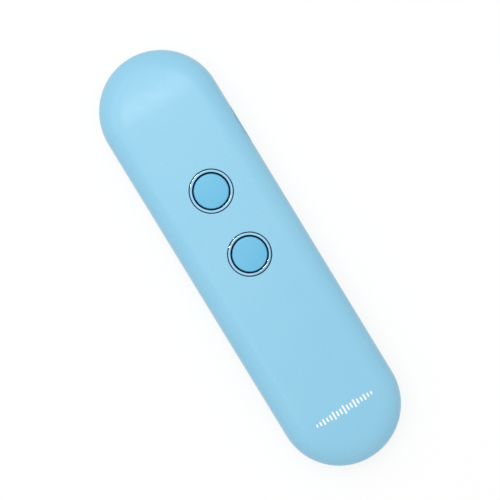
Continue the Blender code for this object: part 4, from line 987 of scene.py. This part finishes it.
def front_rings(depth, edge_steps, crown_steps):
    """Rings of the front shell's surface at a depth below its skin, from its rim to its crown."""
    rings = []
    for angle in quarter(edge_steps):
        inset = depth + FRONT_EDGE_RUN * (1 - math.cos(angle) ** (2 / EDGE_POWER))
        rings.append(front_ring(inset, math.sin(angle) ** (2 / EDGE_POWER), depth))
    flat_width = HALF_WIDTH - depth - FRONT_EDGE_RUN
    for step in range(1, crown_steps):
        rings.append(front_ring(depth + FRONT_EDGE_RUN + flat_width * step / crown_steps, 1, depth))
    return rings


def boss_tools():
    """Screw bosses under the ceiling and their pilot holes, over each of the board's screws."""
    bosses, bores = bmesh.new(), bmesh.new()
    for number in SCREW_NUMBERS:
        x, y = centre(f"board_screw_{number}")[:2]
        ceiling = face_height(x, y, WALL) + WALL / 2
        prism(bosses, moved(circle(BOSS_RADIUS, steps=32), x, y), BOSS_BOTTOM, ceiling)
        bore_top = BOSS_BOTTOM + SCREW_BITE + FIT_GAP
        prism(bores, moved(circle(BOSS_BORE_RADIUS, steps=32), x, y), BOSS_BOTTOM - OVERRUN, bore_top)
    return shade_lined_tool("bosses", bosses), shade_lined_tool("pilot_holes", bores)


def ring_seat_tool():
    """Low round walls under the ceiling that centre the button rings' flanges."""
    shape = bmesh.new()
    seat_bore = RING_FLANGE_RADIUS + FIT_GAP
    low, high = CEILING - RING_FLANGE_THICKNESS - FIT_GAP, CEILING + WALL / 2
    outside = seat_bore + RING_SEAT_WALL
    for y in BUTTON_YS:
        profile = [(seat_bore, low), (outside, low), (outside, high), (seat_bore, high)]
        lathe(shape, profile, Matrix.Translation((0, y, 0)))
    return shade_lined_tool("ring_seats", shape)


def well_tool():
    """The two button wells, whose lips turn over into the face with a small radius."""
    shape = bmesh.new()
    for y in BUTTON_YS:
        mouth = moved(circle(WELL_RADIUS, TURNED_STEPS), 0, y)
        rings = [level(mouth, CEILING - OVERRUN)]
        for angle in quarter(steps=6):
            mouth = moved(circle(WELL_RADIUS + WELL_LIP * (1 - math.cos(angle)), TURNED_STEPS), 0, y)
            sunk = WELL_LIP * (1 - math.sin(angle)) - WELL_LIP_RISE
            rings.append([(a, b, face_height(a, b) - sunk) for a, b in mouth])
        rings.append(level(mouth, FACE_TOP + OVERRUN))
        # The wells' walls take the dark navy, painted shade in the gap round each ring.
        loft(shape, rings, capped=True, shade_bands=1)
    return cast("button_wells", shape, satin_plastic, shade_navy_plastic)


def slide_tools():
    """The pad inside the wall, then the pocket, slot and finger scoop cut for the slide knob."""
    half_pocket = FLANGE_HALF_LENGTH + SLIDE_TRAVEL / 2 + FIT_GAP
    pocket_height = FLANGE_HALF_HEIGHT + FIT_GAP
    pad, pocket, slot, scoop = bmesh.new(), bmesh.new(), bmesh.new(), bmesh.new()
    half_pad = half_pocket + PAD_MARGIN
    block(
        pad,
        (PAD_FACE_X - PAD_MARGIN, SLIDE_Y - half_pad, SLIDE_Z - pocket_height - PAD_MARGIN / 2),
        (PAD_FACE_X + PAD_DEPTH, SLIDE_Y + half_pad, SLIDE_Z + FLANGE_HALF_HEIGHT),
    )
    block(
        pocket,
        (NOTCH_X, SLIDE_Y - half_pocket, SLIDE_Z - pocket_height),
        (PAD_FACE_X, SLIDE_Y + half_pocket, SLIDE_Z + pocket_height),
    )
    slot_length = 2 * (FLANGE_HALF_LENGTH - SLIDE_TRAVEL / 2 - FLANGE_LAP)
    slot_height = 2 * (FLANGE_HALF_HEIGHT - FLANGE_LAP)
    outline = rounded_rectangle(slot_height, slot_length, FIT_GAP, steps=6)
    lay = Matrix.Translation((0, SLIDE_Y, SLIDE_Z)) @ Matrix.Rotation(math.pi / 2, 4, "Y")
    prism(slot, outline, PAD_FACE_X - OVERRUN, HALF_WIDTH + OVERRUN, lay)
    bmesh.ops.create_uvsphere(scoop, u_segments=64, v_segments=48, radius=1)
    bmesh.ops.scale(scoop, vec=(SCOOP_DEPTH, SCOOP_LENGTH / 2, SCOOP_HEIGHT / 2), verts=scoop.verts)
    bmesh.ops.translate(scoop, vec=(HALF_WIDTH - SEAM_CHAMFER, SLIDE_Y, SLIDE_Z), verts=scoop.verts)
    made = [shade_lined_tool(name, tool) for name, tool in (("slide_pad", pad), ("slide_pocket", pocket))]
    return *made, shade_lined_tool("slide_slot", slot), cast("slide_scoop", scoop, satin_plastic)


shape = bmesh.new()
tongue_inset = WALL - TONGUE_THICKNESS
tongue_low_z = PARTING_HEIGHT - TONGUE_DEPTH
front_rim = [
    flat_ring(WALL, tongue_low_z),
    flat_ring(tongue_inset, tongue_low_z),
    flat_ring(tongue_inset, PARTING_HEIGHT),
    flat_ring(SEAM_CHAMFER, PARTING_HEIGHT),
    flat_ring(SEAM_CHAMFER / 3, PARTING_HEIGHT + SEAM_CHAMFER / 3),
]
outer_rings = front_rings(0, edge_steps=28, crown_steps=18)
outer_rings[0] = flat_ring(0, PARTING_HEIGHT + SEAM_CHAMFER)
inside = front_rings(WALL, edge_steps=8, crown_steps=8)[::-1]
shell_rings = loft(shape, inside + front_rim + outer_rings, shade_bands=len(inside) + SHADE_RIM_BANDS)
close_with_strips(shape, shell_rings[0], PAINTED_SHADE)
close_with_strips(shape, shell_rings[-1], SPRAYED)
front_half = cast("front_half", shape, satin_plastic, shade_navy_plastic)
bosses, pilot_holes = boss_tools()
pad, pocket, slot, scoop = slide_tools()
machine(front_half, "UNION", bosses, ring_seat_tool(), pad)
machine(front_half, "DIFFERENCE", well_tool(), pilot_holes, pocket, slot, scoop, *end_openings())
seat(front_half, "case", "satin_shell", "front_shell")


# Printed mark
# A voice wave pad-printed in white ink on the lower end of the face: a plain row of upright
# bars with round ends, tall in the middle and short towards both sides.

MARK_Y = -0.0526
MARK_WIDTH = 0.0188
BAR_COUNT = 17
BAR_WIDTH = 0.00050
BAR_SHORT = 0.0010
BAR_TALL = 0.0029
BAR_CORNER_SHARE = 0.4995
SWELL_POWER = 0.7
PULSE_DEPTH = 0.38
PULSE_BARS = 34 / 11
INK_STAND = 0.000012
INK_WHITE = (250, 252, 253), (244, 248, 250)

ink = moulded("white_ink", INK_WHITE, gloss=(0.30, 0.38), grit=(0.00008, 0.000001), patch=0.002)
shape = bmesh.new()
for number in range(BAR_COUNT):
    share = number / (BAR_COUNT - 1)
    swell = math.sin(math.pi * share) ** SWELL_POWER
    beat = math.cos(math.tau * (number - (BAR_COUNT - 1) / 2) / PULSE_BARS)
    tall = BAR_SHORT + (BAR_TALL - BAR_SHORT) * swell * (1 - PULSE_DEPTH + PULSE_DEPTH * beat)
    capsule = rounded_rectangle(BAR_WIDTH, tall, BAR_WIDTH * BAR_CORNER_SHARE, steps=5)
    bar = moved(capsule, MARK_WIDTH * (share - 0.5), MARK_Y)
    stands = (-INK_STAND, INK_STAND)
    rings = [[(x, y, face_height(x, y) + stand) for x, y in bar] for stand in stands]
    loft(shape, rings, capped=True)
seat(cast("voice_wave_mark", shape, ink), "case", "white_nylon")


# Studio
# A plain white floor that keeps a faint shadow, an even white surround, soft boxes above the
# upper left, and three small lamps that only put glints on the rings. The camera looks straight
# down on the face, turned so that the device leans.

FLOOR_SIZE = 3.0
FLOOR_DROP = 0.00002
CONTACT_REACH = 0.0015
FLOOR_WHITE = (250, 250, 250)
FLOOR_PALE = (222, 223, 224)
SHADOW_SHARE = 0.22
AMBIENT = 0.74
LEAN = math.radians(31.376)
TILT_SIDE = math.radians(3.4)
TILT_TOP = math.radians(1.0)
FRAME_WIDTH = 0.15037
SENSOR = 36
LENS = 100
AIM_HEIGHT = 0.0050
AIM_RIGHT = -0.00017
AIM_UP = 0.00245
CLIP_START = 0.01
GLINTS = ((8, 14.0), (20, 20.0), (34, 12.0))
GLINT_REACH = 0.52
GLINT_HEIGHT = 0.90
GLINT_SIZE = (0.05, 0.05)
GLINT_TARGET = (0, 0.02, 0.01)

shape = bmesh.new()
half = FLOOR_SIZE / 2
corners = ((-half, -half), (half, -half), (half, half), (-half, half))
shape.faces.new([shape.verts.new(point) for point in level(corners, -FLOOR_DROP)])
floor_paint = bpy.data.materials.new("floor_white")
floor_paint.use_nodes = True
tree = floor_paint.node_tree
tree.nodes.remove(tree.nodes["Principled BSDF"])
path = add_node(tree, "LightPath").outputs
tone = blend(tree, path["Is Camera Ray"], linear(FLOOR_PALE), linear(FLOOR_WHITE))
matt = add_node(tree, "BsdfDiffuse", Color=tone).outputs["BSDF"]
bright = add_node(tree, "Emission", Strength=1.0).outputs["Emission"]
clear = add_node(tree, "BsdfTransparent").outputs["BSDF"]
seen = calculate(tree, "MAXIMUM", path["Is Camera Ray"], path["Is Glossy Ray"])
share = calculate(tree, "MULTIPLY", seen, 1 - SHADOW_SHARE)
paint = add_node(tree, "MixShader", share, matt, bright).outputs["Shader"]
backface = add_node(tree, "NewGeometry").outputs["Backfacing"]
close = calculate(tree, "LESS_THAN", path["Ray Length"], CONTACT_REACH)
open_way = calculate(tree, "MAXIMUM", backface, close)
one_sided = add_node(tree, "MixShader", open_way, paint, clear).outputs["Shader"]
connect(tree, tree.nodes["Material Output"], Surface=one_sided)
cast("floor", shape, floor_paint)

world = bpy.data.worlds.new("white_surround")
bpy.context.scene.world = world
world.use_nodes = True
tree = world.node_tree
path = add_node(tree, "LightPath").outputs
seen = calculate(tree, "MAXIMUM", path["Is Camera Ray"], path["Is Glossy Ray"])
seen = calculate(tree, "MAXIMUM", seen, path["Is Transmission Ray"])
strength = add_node(tree, "MapRange", To_Min=AMBIENT, To_Max=1.0, Value=seen).outputs["Result"]
connect(tree, tree.nodes["Background"], Strength=strength, Color=(1, 1, 1, 1))


def lamp(name, watts, size, place, target):
    """A rectangular soft box that faces its target."""
    light = bpy.data.lights.new(name, "AREA")
    light.shape = "RECTANGLE"
    light.size, light.size_y = size
    light.energy = watts
    made = bpy.data.objects.new(name, light)
    bpy.context.scene.collection.objects.link(made)
    made.location = place
    made.rotation_euler = (Vector(target) - Vector(place)).to_track_quat("-Z", "Y").to_euler()
    return made


lamp("key_box", watts=1.04, size=(0.55, 0.55), place=(-0.09, 0.18, 0.44), target=(0, 0.02, 0))
lamp("band_strip", watts=0.54, size=(0.12, 0.05), place=(0.04, 0.30, 0.97), target=(0, 0.056, 0.01))
for number, (turn, watts) in enumerate(GLINTS, 1):
    way = math.radians(90 + turn)
    place = (GLINT_REACH * math.cos(way), GLINT_REACH * math.sin(way), GLINT_HEIGHT)
    glint = lamp(f"glint_{number}", watts, GLINT_SIZE, place, GLINT_TARGET)
    glint.visible_diffuse = False
    glint.light_linking.receiver_collection = ring_trim

right = Vector((math.cos(LEAN), -math.sin(LEAN), 0))
up = Vector((math.sin(LEAN), math.cos(LEAN), 0))
target = Vector((0, 0, AIM_HEIGHT)) + right * AIM_RIGHT + up * AIM_UP
distance = FRAME_WIDTH * LENS / SENSOR
camera_data = bpy.data.cameras.new("camera")
camera_data.lens = LENS
camera_data.sensor_width = SENSOR
camera_data.clip_start = CLIP_START
camera = bpy.data.objects.new("camera", camera_data)
bpy.context.scene.collection.objects.link(camera)
back = Vector((-math.sin(TILT_SIDE), math.sin(TILT_TOP), 1)).normalized()
camera_x = (right - back * right.dot(back)).normalized()
camera_y = back.cross(camera_x)
turned = Matrix((camera_x, camera_y, back)).transposed().to_4x4()
camera.matrix_world = Matrix.Translation(target + back * distance) @ turned
bpy.context.scene.camera = camera
bpy.context.scene.view_settings.view_transform = "Standard"
